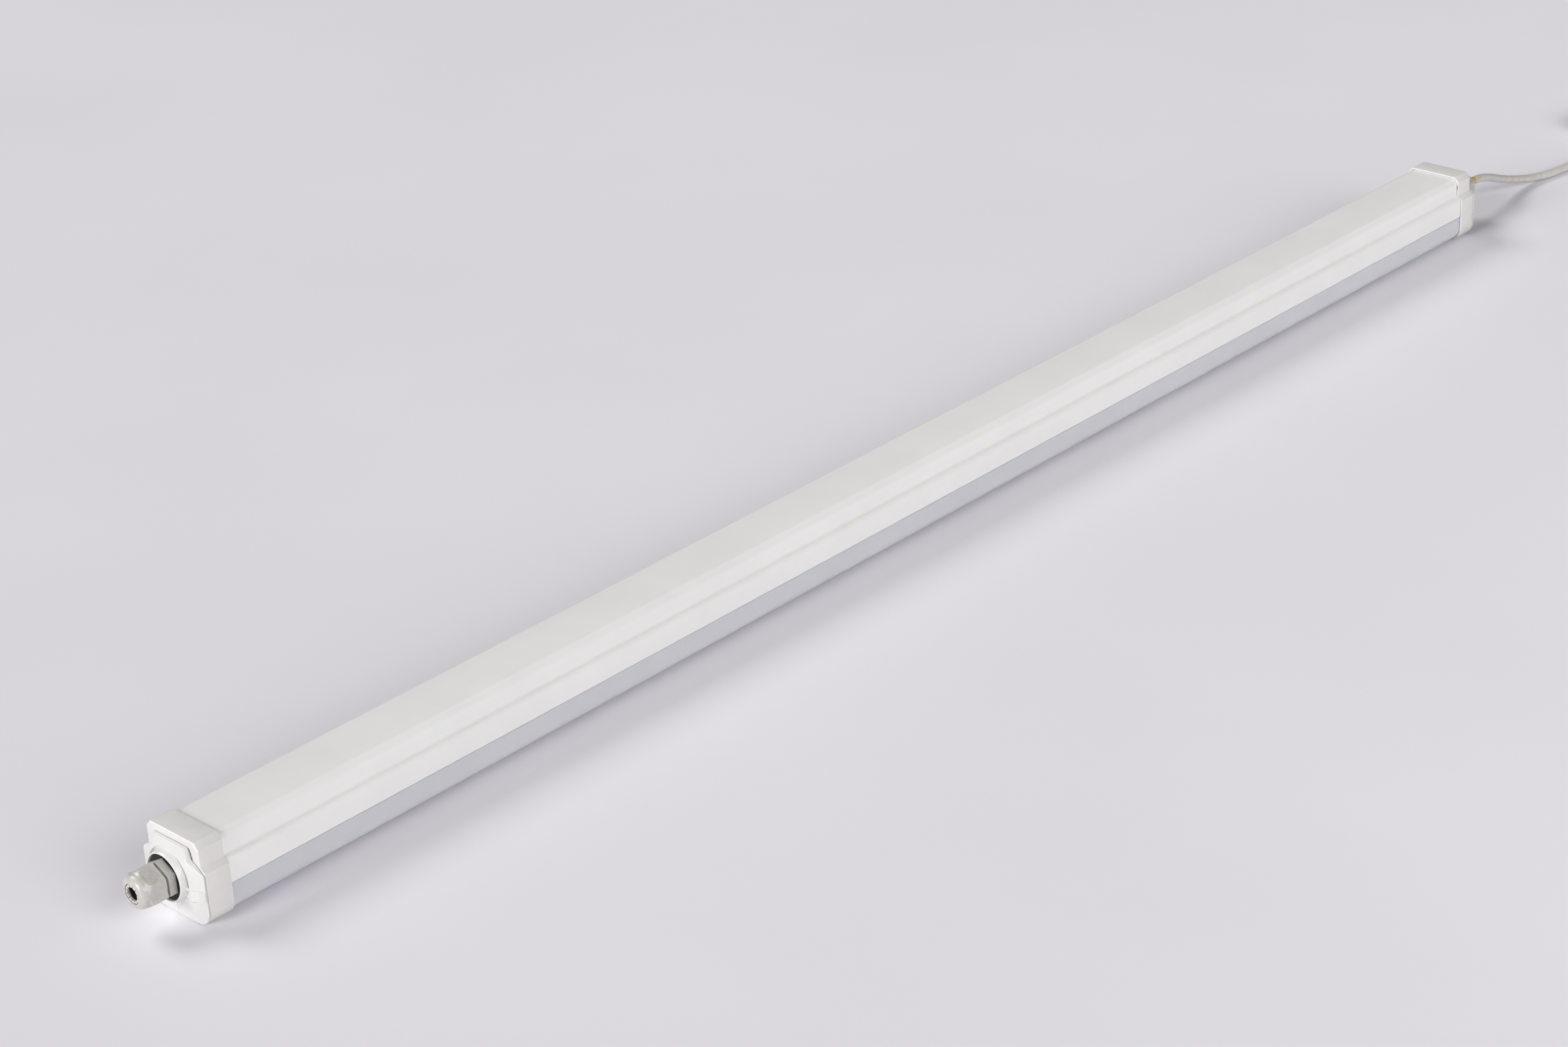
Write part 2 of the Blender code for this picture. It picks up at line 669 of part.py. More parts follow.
def coil_path():
    """The coil's centre line: in along the lower layer, out again along the upper one."""
    path = []
    half_turns = COIL_TURNS / 2
    for index in range(COIL_TURNS * COIL_POINTS + 1):
        turns = index / COIL_POINTS
        radius = COIL_OUTER - COIL_PITCH * (half_turns - abs(half_turns - turns))
        climb = min(max((turns - half_turns) * 2.0 + 0.5, 0.0), 1.0)
        rise = COIL_LAYER * climb ** 2 * (3.0 - 2.0 * climb)
        angle = 2.0 * math.pi * turns - math.pi / 2
        across = COIL_CENTRE[0] + radius * math.cos(angle)
        path.append((across, COIL_CENTRE[1] + radius * math.sin(angle), CORD_RADIUS + COIL_LIFT + rise))
    first = Vector(path[0]) - Vector((COIL_LEAD_IN, 0.0, 0.0))
    last = Vector(path[-1]) + Vector((COIL_LEAD_IN, 0.0, 0.0))
    return [tuple(first)] + path + [tuple(last)]


def coil_gap(path):
    """The least gap between parts of the coil that aren't next to each other."""
    places = [Vector(place) for place in path]
    apart = COIL_POINTS // 2
    return min(
        (places[first] - places[second]).length - 2.0 * CORD_RADIUS
        for first in range(len(places))
        for second in range(first + apart, len(places))
    )


def make_materials(maker):
    """The finish of each kind of piece."""
    maker.materials = {
        "housing_white": new_material("housing_white", (0.79, 0.78, 0.77), 0.38),
        "diffuser_opal": new_material("diffuser_opal", (0.62, 0.61, 0.64), 0.45),
        "end_white": new_material("end_white", (0.86, 0.85, 0.84), 0.33),
        "silicone": new_material("silicone", (0.72, 0.72, 0.70), 0.6),
        "rubber_black": new_material("rubber_black", (0.02, 0.02, 0.02), 0.75),
        "nylon_grey": new_material("nylon_grey", (0.42, 0.41, 0.39), 0.4),
        "aluminium": new_material("aluminium", (0.75, 0.76, 0.78), 0.35, 1.0),
        "board_white": new_material("board_white", (0.85, 0.86, 0.84), 0.4),
        "led_phosphor": new_material("led_phosphor", (0.85, 0.68, 0.15), 0.4),
        "steel": new_material("steel", (0.62, 0.62, 0.63), 0.3, 1.0),
        "case_white": new_material("case_white", (0.75, 0.75, 0.74), 0.5),
        "connector_grey": new_material("connector_grey", (0.55, 0.56, 0.57), 0.5),
        "cord_white": new_material("cord_white", (0.68, 0.67, 0.66), 0.5),
        "wire_brown": new_material("wire_brown", (0.17, 0.07, 0.03), 0.5),
        "wire_blue": new_material("wire_blue", (0.03, 0.13, 0.45), 0.5),
        "wire_earth": new_material("wire_earth", (0.25, 0.42, 0.05), 0.5),
        "wire_red": new_material("wire_red", (0.5, 0.03, 0.03), 0.5),
        "wire_black": new_material("wire_black", (0.02, 0.02, 0.02), 0.5),
        "copper": new_material("copper", (0.72, 0.35, 0.2), 0.35, 1.0),
    }


def make_long_section(maker):
    """The white housing with its tray rails, and the opal diffuser below it."""
    half, start = tube_half()
    outer = mirrored(half)
    inner = inset_outline(outer, HOUSING_WALL)
    count = len(outer)
    split = count - start
    wall = LOWER_HALF - PROUD - HOUSING_WALL
    low_rail = TRAY_BOTTOM - SEAT_GAP
    high_rail = TRAY_BOTTOM + TRAY_THICKNESS + SEAT_GAP
    rails = []
    for foot in (low_rail - RAIL_THICKNESS, high_rail):
        rails += [(wall, foot), (wall - RAIL_REACH, foot)]
        rails += [(wall - RAIL_REACH, foot + RAIL_THICKNESS), (wall, foot + RAIL_THICKNESS)]
    inside = inner[start:start + 1] + rails + inner[start + 1:split - 1]
    inside += [(-across, up) for across, up in reversed(rails)] + inner[split - 1:split]
    housing = outer[start:split] + inside[::-1]
    diffuser = outer[split:] + outer[:start] + (inner[split:] + inner[:start])[::-1]
    reach = COLLAR_SPAN / 2 - COLLAR_FRONT - SEAT_GAP
    maker.prism("housing", [housing], -reach, reach, material="housing_white")
    maker.prism("diffuser", [diffuser], -reach, reach, material="diffuser_opal")


def make_collar(maker, end, frame):
    """A sleeve over the section's end, with a front frame that carries the cover."""
    outline = collar_outline()
    half, _ = tube_half()
    socket = inset_outline(mirrored(half), -SEAT_GAP)
    mouth = inset_outline(cover_outline(), SPIGOT_INSET)
    collar = maker.prism(f"end_collar_{end}", [outline], 0.0, COLLAR_LENGTH, material="end_white", parent=frame)
    tools = [
        maker.prism(f"socket_cut_{end}", [socket], COLLAR_FRONT, COLLAR_LENGTH + CUT_OVERRUN, cutter=True, parent=frame),
        maker.prism(f"mouth_cut_{end}", [mouth], -CUT_OVERRUN, COLLAR_FRONT + CUT_OVERRUN, cutter=True, parent=frame),
    ]
    groove_loops = [
        inset_outline(cover_outline(), GASKET_INSET - SEAT_GAP),
        inset_outline(cover_outline(), GASKET_INSET + GASKET_WIDTH + SEAT_GAP),
    ]
    tools.append(maker.prism(f"groove_cut_{end}", groove_loops, -CUT_OVERRUN, GASKET_GROOVE_DEPTH, cutter=True, parent=frame))
    foot = COVER_FLARE[1] + SEAT_GAP
    edge = COVER_NECK_HALF - POCKET_UNDER
    pocket = [
        (edge, foot), (COVER_NECK_HALF + POCKET_WIDTH, foot),
        (COVER_NECK_HALF + POCKET_SHOULDER, foot + POCKET_HEIGHT * POCKET_SHOULDER_SHARE),
        (edge, foot + POCKET_HEIGHT),
    ]
    vent_near = UPPER_HALF - PROUD
    vent_top = SECTION_HEIGHT - PROUD - HOUSING_CORNER_RADIUS
    for side in (-1, 1):
        wedge = pocket if side > 0 else [(-across, up) for across, up in reversed(pocket)]
        tools.append(maker.prism(
            f"pocket_cut_{end}_{side}", [wedge], -CUT_OVERRUN, POCKET_DEPTH, cutter=True, parent=frame,
        ))
        across = sorted((side * vent_near, side * (vent_near + SEAT_GAP + VENT_CUT)))
        tools.append(maker.box(
            f"vent_cut_{end}_{side}", (COLLAR_LENGTH - VENT_LENGTH, across[0], vent_top - VENT_HEIGHT),
            (COLLAR_LENGTH + CUT_OVERRUN, across[1], vent_top), cutter=True, parent=frame,
        ))
    for tool in tools:
        boolean(collar, tool)
    gasket_loops = [
        inset_outline(cover_outline(), GASKET_INSET),
        inset_outline(cover_outline(), GASKET_INSET + GASKET_WIDTH),
    ]
    maker.prism(f"cover_gasket_{end}", gasket_loops, 0.0, GASKET_GROOVE_DEPTH - SEAT_GAP, material="silicone", parent=frame)


def cover_shell(maker, name, frame):
    """The cover's plate: straight sides, rounded edges and a low crown."""
    form = bmesh.new()
    corners = [form.verts.new((-SEAT_GAP, across, up)) for across, up in cover_outline()]
    back = form.faces.new(corners)
    back.normal_update()
    grown = bmesh.ops.extrude_face_region(form, geom=[back], use_keep_orig=True)
    front_corners = [piece for piece in grown["geom"] if isinstance(piece, bmesh.types.BMVert)]
    bmesh.ops.translate(form, verts=front_corners, vec=(SEAT_GAP - COVER_SIDE_OUT, 0.0, 0.0))
    front = next(piece for piece in grown["geom"] if isinstance(piece, bmesh.types.BMFace))
    bmesh.ops.recalc_face_normals(form, faces=form.faces)
    for inset, rise in zip(COVER_ROUND_INSETS, COVER_ROUND_RISES):
        bmesh.ops.inset_region(form, faces=[front], thickness=inset, depth=rise, use_even_offset=True)
    axis = Matrix.Translation((0.0, 0.0, -GLAND_HEIGHT))
    for share, rise in zip(COVER_CROWN_SHARES, COVER_CROWN_RISES):
        bmesh.ops.inset_region(form, faces=[front], thickness=0.0)
        bmesh.ops.scale(form, verts=front.verts, vec=(1.0, share, share), space=axis)
        bmesh.ops.translate(form, verts=front.verts, vec=(-rise, 0.0, 0.0))
    bmesh.ops.recalc_face_normals(form, faces=form.faces)
    mesh = bpy.data.meshes.new(name)
    form.to_mesh(mesh)
    form.free()
    return maker.link(bpy.data.objects.new(name, mesh), material="end_white", parent=frame)


def make_cover(maker, end, frame):
    """The end cover: plate, ring, well, valley, dish, side slots and spigot."""
    cover = cover_shell(maker, f"end_cover_{end}", frame)
    tool = {"cutter": True, "parent": frame}
    lip = RING_LIP_OUT - RING_LIP_ROUND
    ring_foot = SEAT_GAP + (DISH_FLOOR_OUT - SEAT_GAP) * RING_FOOT_SHARE
    valley = [
        (VALLEY_RADIUS + across, VALLEY_OUT + out)
        for across, out in arc((0.0, 0.0), VALLEY_ROUND, 360.0, 36.0, 9)
    ]
    valley_cut = maker.turned(f"valley_cut_{end}", valley, **tool)
    boolean(valley_cut, maker.box(
        f"valley_reach_{end}", (-RING_LIP_OUT, -SECTION_HEIGHT, SLOT_TOP + PIT_RISE),
        (0.0, SECTION_HEIGHT, SECTION_HEIGHT), **tool,
    ), "INTERSECT")
    boolean(cover, valley_cut)
    for side in (-1, 1):
        across = sorted((side * SLOT_INNER, side * (LOWER_HALF + CUT_OVERRUN)))
        boolean(cover, maker.box(
            f"slot_cut_{end}_{side}", (-RING_LIP_OUT, across[0], SLOT_TOP - SLOT_HEIGHT),
            (-SLOT_FLOOR_OUT, across[1], SLOT_TOP), **tool,
        ))
        dish_out = DISH_FLOOR_OUT + DISH_CURVE_RADIUS
        boolean(cover, maker.turned(
            f"dish_cut_{end}_{side}", arc((0.0, 0.0), DISH_CURVE_RADIUS, 90.0, -90.0, DISH_RINGS),
            steps=DISH_STEPS, location=(-dish_out, side * DISH_ACROSS, GLAND_HEIGHT - DISH_BELOW_AXIS), **tool,
        ))
    ring = [
        (0.0, RING_LIP_OUT), (RING_LIP_RADIUS - RING_LIP_ROUND, RING_LIP_OUT), (RING_LIP_RADIUS, lip),
        (RING_FOOT_RADIUS, ring_foot), (0.0, ring_foot),
    ]
    boolean(cover, maker.turned(f"ring_{end}", ring, **tool), "UNION")
    for side in (-1, 1):
        lump = maker.turned(
            f"lump_{end}_{side}",
            [(0.0, LUMP_OUT)]
            + arc((LUMP_RADIUS - LUMP_ROUND, LUMP_OUT - LUMP_ROUND), LUMP_ROUND, 90.0, 0.0, 3)
            + [(LUMP_RADIUS, ring_foot), (0.0, ring_foot)],
            steps=20, location=(0.0, side * LUMP_ACROSS, SLOT_TOP - LUMP_RADIUS), **tool,
        )
        boolean(cover, lump, "UNION")
        boolean(cover, maker.turned(
            f"pit_cut_{end}_{side}", rod(PIT_RADIUS, PIT_FLOOR_OUT, RING_LIP_OUT), steps=10,
            location=(0.0, side * VALLEY_RADIUS, SLOT_TOP + PIT_RISE), **tool,
        ))
    spigot = [
        inset_outline(cover_outline(), SPIGOT_INSET + SEAT_GAP),
        inset_outline(cover_outline(), SPIGOT_INSET + SEAT_GAP + SPIGOT_WALL),
    ]
    boolean(cover, maker.prism(f"spigot_{end}", spigot, -SEAT_GAP * 2, SPIGOT_DEPTH, **tool), "UNION")
    well = [
        (0.0, RING_LIP_OUT + CUT_OVERRUN), (RING_BORE_RADIUS + RING_LIP_ROUND, RING_LIP_OUT + CUT_OVERRUN),
        (RING_BORE_RADIUS + RING_LIP_ROUND / 2, RING_LIP_OUT), (RING_BORE_RADIUS, lip),
        (RING_BORE_RADIUS, WELL_FLOOR_OUT), (0.0, WELL_FLOOR_OUT),
    ]
    boolean(cover, maker.turned(f"well_cut_{end}", well, **tool))
    cavity_radius = LOCKNUT_RADIUS + LOCKNUT_ROOM
    cavity = [
        (0.0, CAVITY_OUT), (cavity_radius, CAVITY_OUT), (cavity_radius, -CUT_OVERRUN), (0.0, -CUT_OVERRUN),
    ]
    boolean(cover, maker.turned(f"cavity_cut_{end}", cavity, **tool))
    bore = rod(SHANK_HOLE_RADIUS, CAVITY_OUT - CUT_OVERRUN, WELL_FLOOR_OUT + CUT_OVERRUN)
    boolean(cover, maker.turned(f"gland_hole_cut_{end}", bore, **tool))


def make_gland(maker, end, frame):
    """A cable gland: washer, body, lock nut, clamping insert, seal and dome nut."""
    piece = {"parent": frame}
    tool = {"cutter": True, "parent": frame}
    maker.turned(
        f"gland_washer_{end}", sleeve(SHANK_HOLE_RADIUS, RING_BORE_RADIUS - WASHER_MARGIN, WASHER_LOW, WASHER_HIGH),
        material="rubber_black", **piece,
    )

    body = maker.hexagon(
        f"gland_body_{end}", GLAND_HEX_RADIUS, FLANGE_LOW, FLANGE_HIGH, chamfer=GLAND_EDGE,
        material="nylon_grey", **piece,
    )
    shank_end = FLANGE_LOW - SHANK_LENGTH
    core = [
        (0.0, NECK_END), (NECK_RADIUS, NECK_END), (NECK_RADIUS, FLANGE_HIGH - SEAT_GAP),
        (SHANK_RADIUS, FLANGE_HIGH - SEAT_GAP), (SHANK_RADIUS, shank_end), (0.0, shank_end),
    ]
    boolean(body, maker.turned(f"gland_core_{end}", core, **tool), "UNION")
    seat = NECK_END - NECK_BORE_DEPTH
    bore = [
        (0.0, NECK_END + CUT_OVERRUN), (NECK_BORE_RADIUS, NECK_END + CUT_OVERRUN), (NECK_BORE_RADIUS, seat),
        (BODY_BORE_RADIUS, seat), (BODY_BORE_RADIUS, shank_end - CUT_OVERRUN), (0.0, shank_end - CUT_OVERRUN),
    ]
    boolean(body, maker.turned(f"gland_bore_cut_{end}", bore, **tool))

    locknut_high = CAVITY_OUT - SEAT_GAP
    locknut_low = locknut_high - LOCKNUT_THICKNESS
    locknut = maker.hexagon(
        f"gland_locknut_{end}", LOCKNUT_RADIUS, locknut_low, locknut_high, material="nylon_grey", **piece,
    )
    bore = rod(SHANK_HOLE_RADIUS, locknut_low - CUT_OVERRUN, locknut_high + CUT_OVERRUN)
    boolean(locknut, maker.turned(f"locknut_bore_cut_{end}", bore, **tool))

    inner = INSERT_RADIUS - INSERT_WALL
    tip_rear = INSERT_FRONT - INSERT_TIP_DEPTH
    taper = (INSERT_RADIUS - INSERT_TIP_RADIUS) / INSERT_TAPER_LENGTH
    throat = INSERT_TIP_RADIUS + taper * INSERT_TIP_DEPTH - INSERT_TAPER_WALL
    insert = maker.turned(
        f"gland_insert_{end}",
        [(INSERT_TIP_RADIUS, INSERT_FRONT), (INSERT_RADIUS, TAPER_REAR), (INSERT_RADIUS, INSERT_REAR),
         (inner, INSERT_REAR), (inner, TAPER_REAR), (throat, tip_rear), (INSERT_TIP_BORE, tip_rear),
         (INSERT_TIP_BORE, INSERT_FRONT)],
        material="nylon_grey", **piece,
    )
    for index in range(CLAW_SLIT_COUNT):
        slit = maker.box(
            f"slit_cut_{end}_{index}",
            (-INSERT_RADIUS - CUT_OVERRUN, -CLAW_SLIT / 2, INSERT_FRONT - CLAW_SLIT_LENGTH),
            (INSERT_RADIUS + CUT_OVERRUN, CLAW_SLIT / 2, INSERT_FRONT + CUT_OVERRUN), **tool,
        )
        turn = Matrix.Rotation(math.pi * (index + 0.5) / CLAW_SLIT_COUNT, 4, "Z")
        lay = Matrix.Rotation(-math.pi / 2, 4, "Y")
        slit.matrix_basis = Matrix.Translation((0.0, 0.0, GLAND_HEIGHT)) @ lay @ turn @ slit.matrix_basis
        boolean(insert, slit)
    seal_bore = SEAL_OPEN_RADIUS if end == "left" else CORD_RADIUS + CORD_SEAL_GAP
    seal_front = tip_rear - SEAT_GAP
    maker.turned(
        f"gland_seal_{end}",
        [(throat - SEAT_GAP, seal_front), (inner - SEAT_GAP, TAPER_REAR - SEAT_GAP), (inner - SEAT_GAP, INSERT_REAR),
         (seal_bore, INSERT_REAR), (seal_bore, seal_front)],
        material="rubber_black", **piece,
    )

    mouth = INSERT_TIP_RADIUS + NUT_MOUTH_GAP
    cone = INSERT_RADIUS + NUT_CONE_GAP
    thread = NECK_RADIUS + NUT_THREAD_GAP
    thread_end = NECK_END + NUT_THREAD_ROOM
    profile = [(mouth, NUT_FRONT)] + dome_profile()
    profile += [(GLAND_HEX_RADIUS + CUT_OVERRUN, NUT_REAR), (thread, NUT_REAR), (thread, thread_end)]
    profile += [(cone, thread_end), (cone, TAPER_REAR)]
    nut = maker.turned(f"gland_nut_{end}", profile, material="nylon_grey", **piece)
    bar = maker.hexagon(
        f"nut_hexagon_{end}", GLAND_HEX_RADIUS, NUT_REAR - CUT_OVERRUN, NUT_FRONT + CUT_OVERRUN,
        chamfer=GLAND_EDGE, **tool,
    )
    boolean(nut, bar, "INTERSECT")


def dome_profile():
    """The nut's rounded front, from beside its mouth down to the ends of its flats."""
    centre = (NUT_DOME_RADIUS - NUT_DOME_ROUND, NUT_FRONT - NUT_DOME_ROUND)
    points = arc(centre, NUT_DOME_ROUND, 84.0, 0.0, 5)
    shoulder = NUT_FRONT - NUT_SHOULDER_BACK
    points.append((NUT_DOME_RADIUS, shoulder))
    points.append((GLAND_HEX_RADIUS + CUT_OVERRUN, shoulder - NUT_SHOULDER_RISE))
    return points


def cylinder_adder(centre, radius, low, high, steps=SCREW_STEPS):
    """A function that adds one upright cylinder to a form."""
    def add(form):
        bmesh.ops.create_cone(
            form, cap_ends=True, segments=steps, radius1=radius, radius2=radius, depth=high - low,
            matrix=Matrix.Translation((centre[0], centre[1], (low + high) / 2)),
        )
    return add


def cube_adder(middle, *size):
    """A function that adds one box to a form."""
    def add(form):
        matrix = Matrix.Translation(middle) @ Matrix.Diagonal((*size, 1.0))
        bmesh.ops.create_cube(form, size=1.0, matrix=matrix)
    return add


def board_middles():
    """Where each LED board has its middle."""
    return [(index - (BOARD_COUNT - 1) / 2) * BOARD_PITCH for index in range(BOARD_COUNT)]


def screw_places():
    """Where a board screw goes through its board and the tray."""
    return [middle + offset for middle in board_middles() for offset in (-SCREW_SPREAD, SCREW_SPREAD)]


def driver_screw_places():
    """Where a screw holds each of the driver's ears."""
    reach = DRIVER_LENGTH / 2 + DRIVER_EAR / 2
    return [DRIVER_MIDDLE - reach, DRIVER_MIDDLE + reach]


def make_screw(maker, name, place, head_far, head_side, length):
    """A pan head screw on the light's middle line, with its head on the side given as 1 or -1."""
    head_near = head_far - head_side * SCREW_HEAD_HEIGHT
    tip = head_near - head_side * length
    profile = [
        (0.0, head_far), (SCREW_HEAD_RADIUS - SCREW_HEAD_ROUND, head_far),
        (SCREW_HEAD_RADIUS, head_far - head_side * SCREW_HEAD_ROUND), (SCREW_HEAD_RADIUS, head_near),
        (SCREW_RADIUS, head_near), (SCREW_RADIUS, tip), (0.0, tip),
    ]
    if head_side < 0:
        profile.reverse()
    maker.turned(name, profile, steps=SCREW_STEPS, location=(place, 0.0, 0.0), turn=UPRIGHT, material="steel")


def make_tray(maker):
    """The aluminium tray that slides between the housing's rails."""
    half = LOWER_HALF - PROUD - HOUSING_WALL - SEAT_GAP
    rib_low = TRAY_RIB_ACROSS - TRAY_THICKNESS / 2
    rib_high = TRAY_RIB_ACROSS + TRAY_THICKNESS / 2
    rib_top = TRAY_TOP + TRAY_RIB_HEIGHT
    right = [
        (half, TRAY_BOTTOM), (half, TRAY_TOP), (rib_high, TRAY_TOP), (rib_high, rib_top), (rib_low, rib_top),
        (rib_low, TRAY_TOP),
    ]
    tray = maker.prism("led_tray", [mirrored(right)], -TRAY_REACH, TRAY_REACH, material="aluminium")
    low = TRAY_BOTTOM - CUT_OVERRUN
    high = TRAY_TOP + CUT_OVERRUN
    places = screw_places() + driver_screw_places()
    holes = [cylinder_adder((place, 0.0), SCREW_HOLE_RADIUS, low, high) for place in places]
    holes.append(cylinder_adder((LEAD_HOLE_PLACE, 0.0), LEAD_HOLE_RADIUS, low, high, steps=LEAD_HOLE_STEPS))
    boolean(tray, maker.group("tray_hole_cuts", holes, cutter=True))


def make_boards(maker):
    """The LED boards under the tray, with their LEDs, screws and links."""
    led_middle = BOARD_BOTTOM + (LED_SINK - LED_HEIGHT) / 2
    for number, middle in enumerate(board_middles(), start=1):
        board = maker.box(
            f"led_board_{number}", (middle - BOARD_LENGTH / 2, -BOARD_HALF_WIDTH, BOARD_BOTTOM),
            (middle + BOARD_LENGTH / 2, BOARD_HALF_WIDTH, BOARD_TOP), material="board_white",
        )
        first = middle - LED_PITCH * (LED_COUNT - 1) / 2
        leds = [
            cube_adder((first + LED_PITCH * index, 0.0, led_middle), LED_LENGTH, LED_WIDTH, LED_HEIGHT + LED_SINK)
            for index in range(LED_COUNT)
        ]
        boolean(board, maker.group(f"board_leds_{number}", leds, cutter=True), "UNION")
        holes = [
            cylinder_adder((middle + offset, 0.0), SCREW_HOLE_RADIUS, BOARD_BOTTOM - CUT_OVERRUN, BOARD_TOP + CUT_OVERRUN)
            for offset in (-SCREW_SPREAD, SCREW_SPREAD)
        ]
        boolean(board, maker.group(f"board_hole_cuts_{number}", holes, cutter=True))
    head_far = BOARD_BOTTOM - SEAT_GAP - SCREW_HEAD_HEIGHT
    for number, place in enumerate(screw_places(), start=1):
        make_screw(maker, f"board_screw_{number}", place, head_far, -1, BOARD_SCREW_LENGTH)
    pad = BOARD_BOTTOM - SEAT_GAP - LEAD_RADIUS
    for number, middle in enumerate(board_middles()[:-1], start=1):
        joint = middle + BOARD_PITCH / 2
        for side, kind, material in ((-1, "minus", "wire_black"), (1, "plus", "wire_red")):
            across = side * LINK_ACROSS
            route = [
                (joint - LINK_SPAN / 2, across, pad), (joint - LINK_SPAN / 4, across, pad - LINK_SAG),
                (joint + LINK_SPAN / 4, across, pad - LINK_SAG), (joint + LINK_SPAN / 2, across, pad),
            ]
            maker.tube(
                f"board_link_{kind}_{number}", [curve_through(route, LINK_POINT_STEP)], LEAD_RADIUS,
                material=material,
            )


def make_driver(maker):
    """The LED driver on the tray, its ears, screws and leads."""
    floor = TRAY_FLOOR
    left = DRIVER_MIDDLE - DRIVER_LENGTH / 2
    right = DRIVER_MIDDLE + DRIVER_LENGTH / 2
    case = maker.box(
        "driver_case", (left, -DRIVER_WIDTH / 2, floor), (right, DRIVER_WIDTH / 2, floor + DRIVER_HEIGHT),
        rounding=DRIVER_ROUND, material="case_white",
    )
    ears = maker.box(
        "driver_ears", (left - DRIVER_EAR, -DRIVER_EAR_WIDTH / 2, floor),
        (right + DRIVER_EAR, DRIVER_EAR_WIDTH / 2, floor + DRIVER_EAR_THICKNESS), cutter=True,
    )
    boolean(case, ears, "UNION")
    ear_top = floor + DRIVER_EAR_THICKNESS
    holes = [
        cylinder_adder((place, 0.0), SCREW_HOLE_RADIUS, floor - CUT_OVERRUN, ear_top + CUT_OVERRUN)
        for place in driver_screw_places()
    ]
    boolean(case, maker.group("ear_hole_cuts", holes, cutter=True))
    for number, place in enumerate(driver_screw_places(), start=1):
        head_far = ear_top + SEAT_GAP + SCREW_HEAD_HEIGHT
        make_screw(maker, f"driver_screw_{number}", place, head_far, 1, DRIVER_SCREW_LENGTH)

    hole = LEAD_HOLE_PLACE
    pad = BOARD_BOTTOM - SEAT_GAP - LEAD_RADIUS
    high = floor + DRIVER_LEAD_RISE
    rib_top = TRAY_TOP + TRAY_RIB_HEIGHT
    start = left - SEAT_GAP
    for side, name, material in ((-1, "board_lead_minus", "wire_black"), (1, "board_lead_plus", "wire_red")):
        across = side * LEAD_ACROSS
        route = [
            (start, across, high), (start - DRIVER_EAR, across, high), ((start + hole) / 2, across, rib_top),
            (hole + LINK_SPAN / 2, across, rib_top - LEAD_HOLE_RADIUS / 2), (hole, across, TRAY_TOP - TRAY_THICKNESS / 2),
            (hole + LEAD_HOLE_RADIUS / 2, across, pad + LEAD_RADIUS / 2), (hole + LINK_SPAN / 2, across, pad),
        ]
        maker.tube(name, [curve_through(route, LEAD_POINT_STEP)], LEAD_RADIUS, material=material)


def pole_places():
    """Where the terminal poles lie across the light."""
    return [POLE_PITCH * (index - (POLE_COUNT - 1) / 2) for index in range(POLE_COUNT)]


def entry_cuts(maker, name, face, direction, height, **where):
    """Round wire entries cut into a connector's face along X."""
    def adder(across):
        def add(form):
            middle = face - direction * (ENTRY_DEPTH - CUT_OVERRUN) / 2
            bmesh.ops.create_cone(
                form, cap_ends=True, segments=12, radius1=ENTRY_RADIUS, radius2=ENTRY_RADIUS,
                depth=ENTRY_DEPTH + CUT_OVERRUN,
                matrix=Matrix.Translation((middle, across, height)) @ Matrix.Rotation(math.pi / 2, 4, "Y"),
            )
        return add
    return maker.group(name, [adder(across) for across in pole_places()], cutter=True, **where)


def make_connectors(maker, end_frame):
    """The left terminal block, and the supply socket with the plug that leaves with its cover."""
    floor = TRAY_FLOOR
    middle_height = floor + BLOCK_HEIGHT / 2
    block = maker.box(
        "terminal_block", (BLOCK_MIDDLE - BLOCK_LENGTH / 2, -BLOCK_WIDTH / 2, floor),
        (BLOCK_MIDDLE + BLOCK_LENGTH / 2, BLOCK_WIDTH / 2, floor + BLOCK_HEIGHT),
        rounding=BLOCK_ROUND, material="connector_grey",
    )
    boolean(block, entry_cuts(maker, "block_front_cuts", BLOCK_MIDDLE - BLOCK_LENGTH / 2, -1, middle_height))
    boolean(block, entry_cuts(maker, "block_back_cuts", BLOCK_MIDDLE + BLOCK_LENGTH / 2, 1, middle_height))

    socket_left = SOCKET_MIDDLE - BLOCK_LENGTH / 2
    socket_right = SOCKET_MIDDLE + BLOCK_LENGTH / 2
    socket = maker.box(
        "supply_socket", (socket_left, -BLOCK_WIDTH / 2, floor), (socket_right, BLOCK_WIDTH / 2, floor + BLOCK_HEIGHT),
        rounding=BLOCK_ROUND, material="connector_grey",
    )
    boolean(socket, entry_cuts(maker, "socket_entry_cuts", socket_left, -1, middle_height))
    half_wide = PLUG_NOSE_WIDTH / 2
    half_high = PLUG_NOSE_HEIGHT / 2
    boolean(socket, maker.box(
        "socket_cavity_cut",
        (socket_right - PLUG_NOSE_LENGTH - SEAT_GAP, -half_wide - SEAT_GAP, middle_height - half_high - SEAT_GAP),
        (socket_right + CUT_OVERRUN, half_wide + SEAT_GAP, middle_height + half_high + SEAT_GAP), cutter=True,
    ))

    plug_left = socket_right + SEAT_GAP
    inward = COLLAR_SPAN / 2
    plug = maker.box(
        "supply_plug", (inward - plug_left - PLUG_LENGTH, -BLOCK_WIDTH / 2, floor),
        (inward - plug_left, BLOCK_WIDTH / 2, floor + BLOCK_HEIGHT),
        rounding=BLOCK_ROUND, material="connector_grey", parent=end_frame,
    )
    boolean(plug, maker.box(
        "plug_nose", (inward - plug_left - PLUG_LENGTH / 2, -half_wide, middle_height - half_high),
        (inward - plug_left + PLUG_NOSE_LENGTH, half_wide, middle_height + half_high),
        cutter=True, parent=end_frame,
    ), "UNION")
    plug_back = inward - plug_left - PLUG_LENGTH
    boolean(plug, entry_cuts(maker, "plug_entry_cuts", plug_back, -1, middle_height, parent=end_frame))
    return middle_height, plug_back


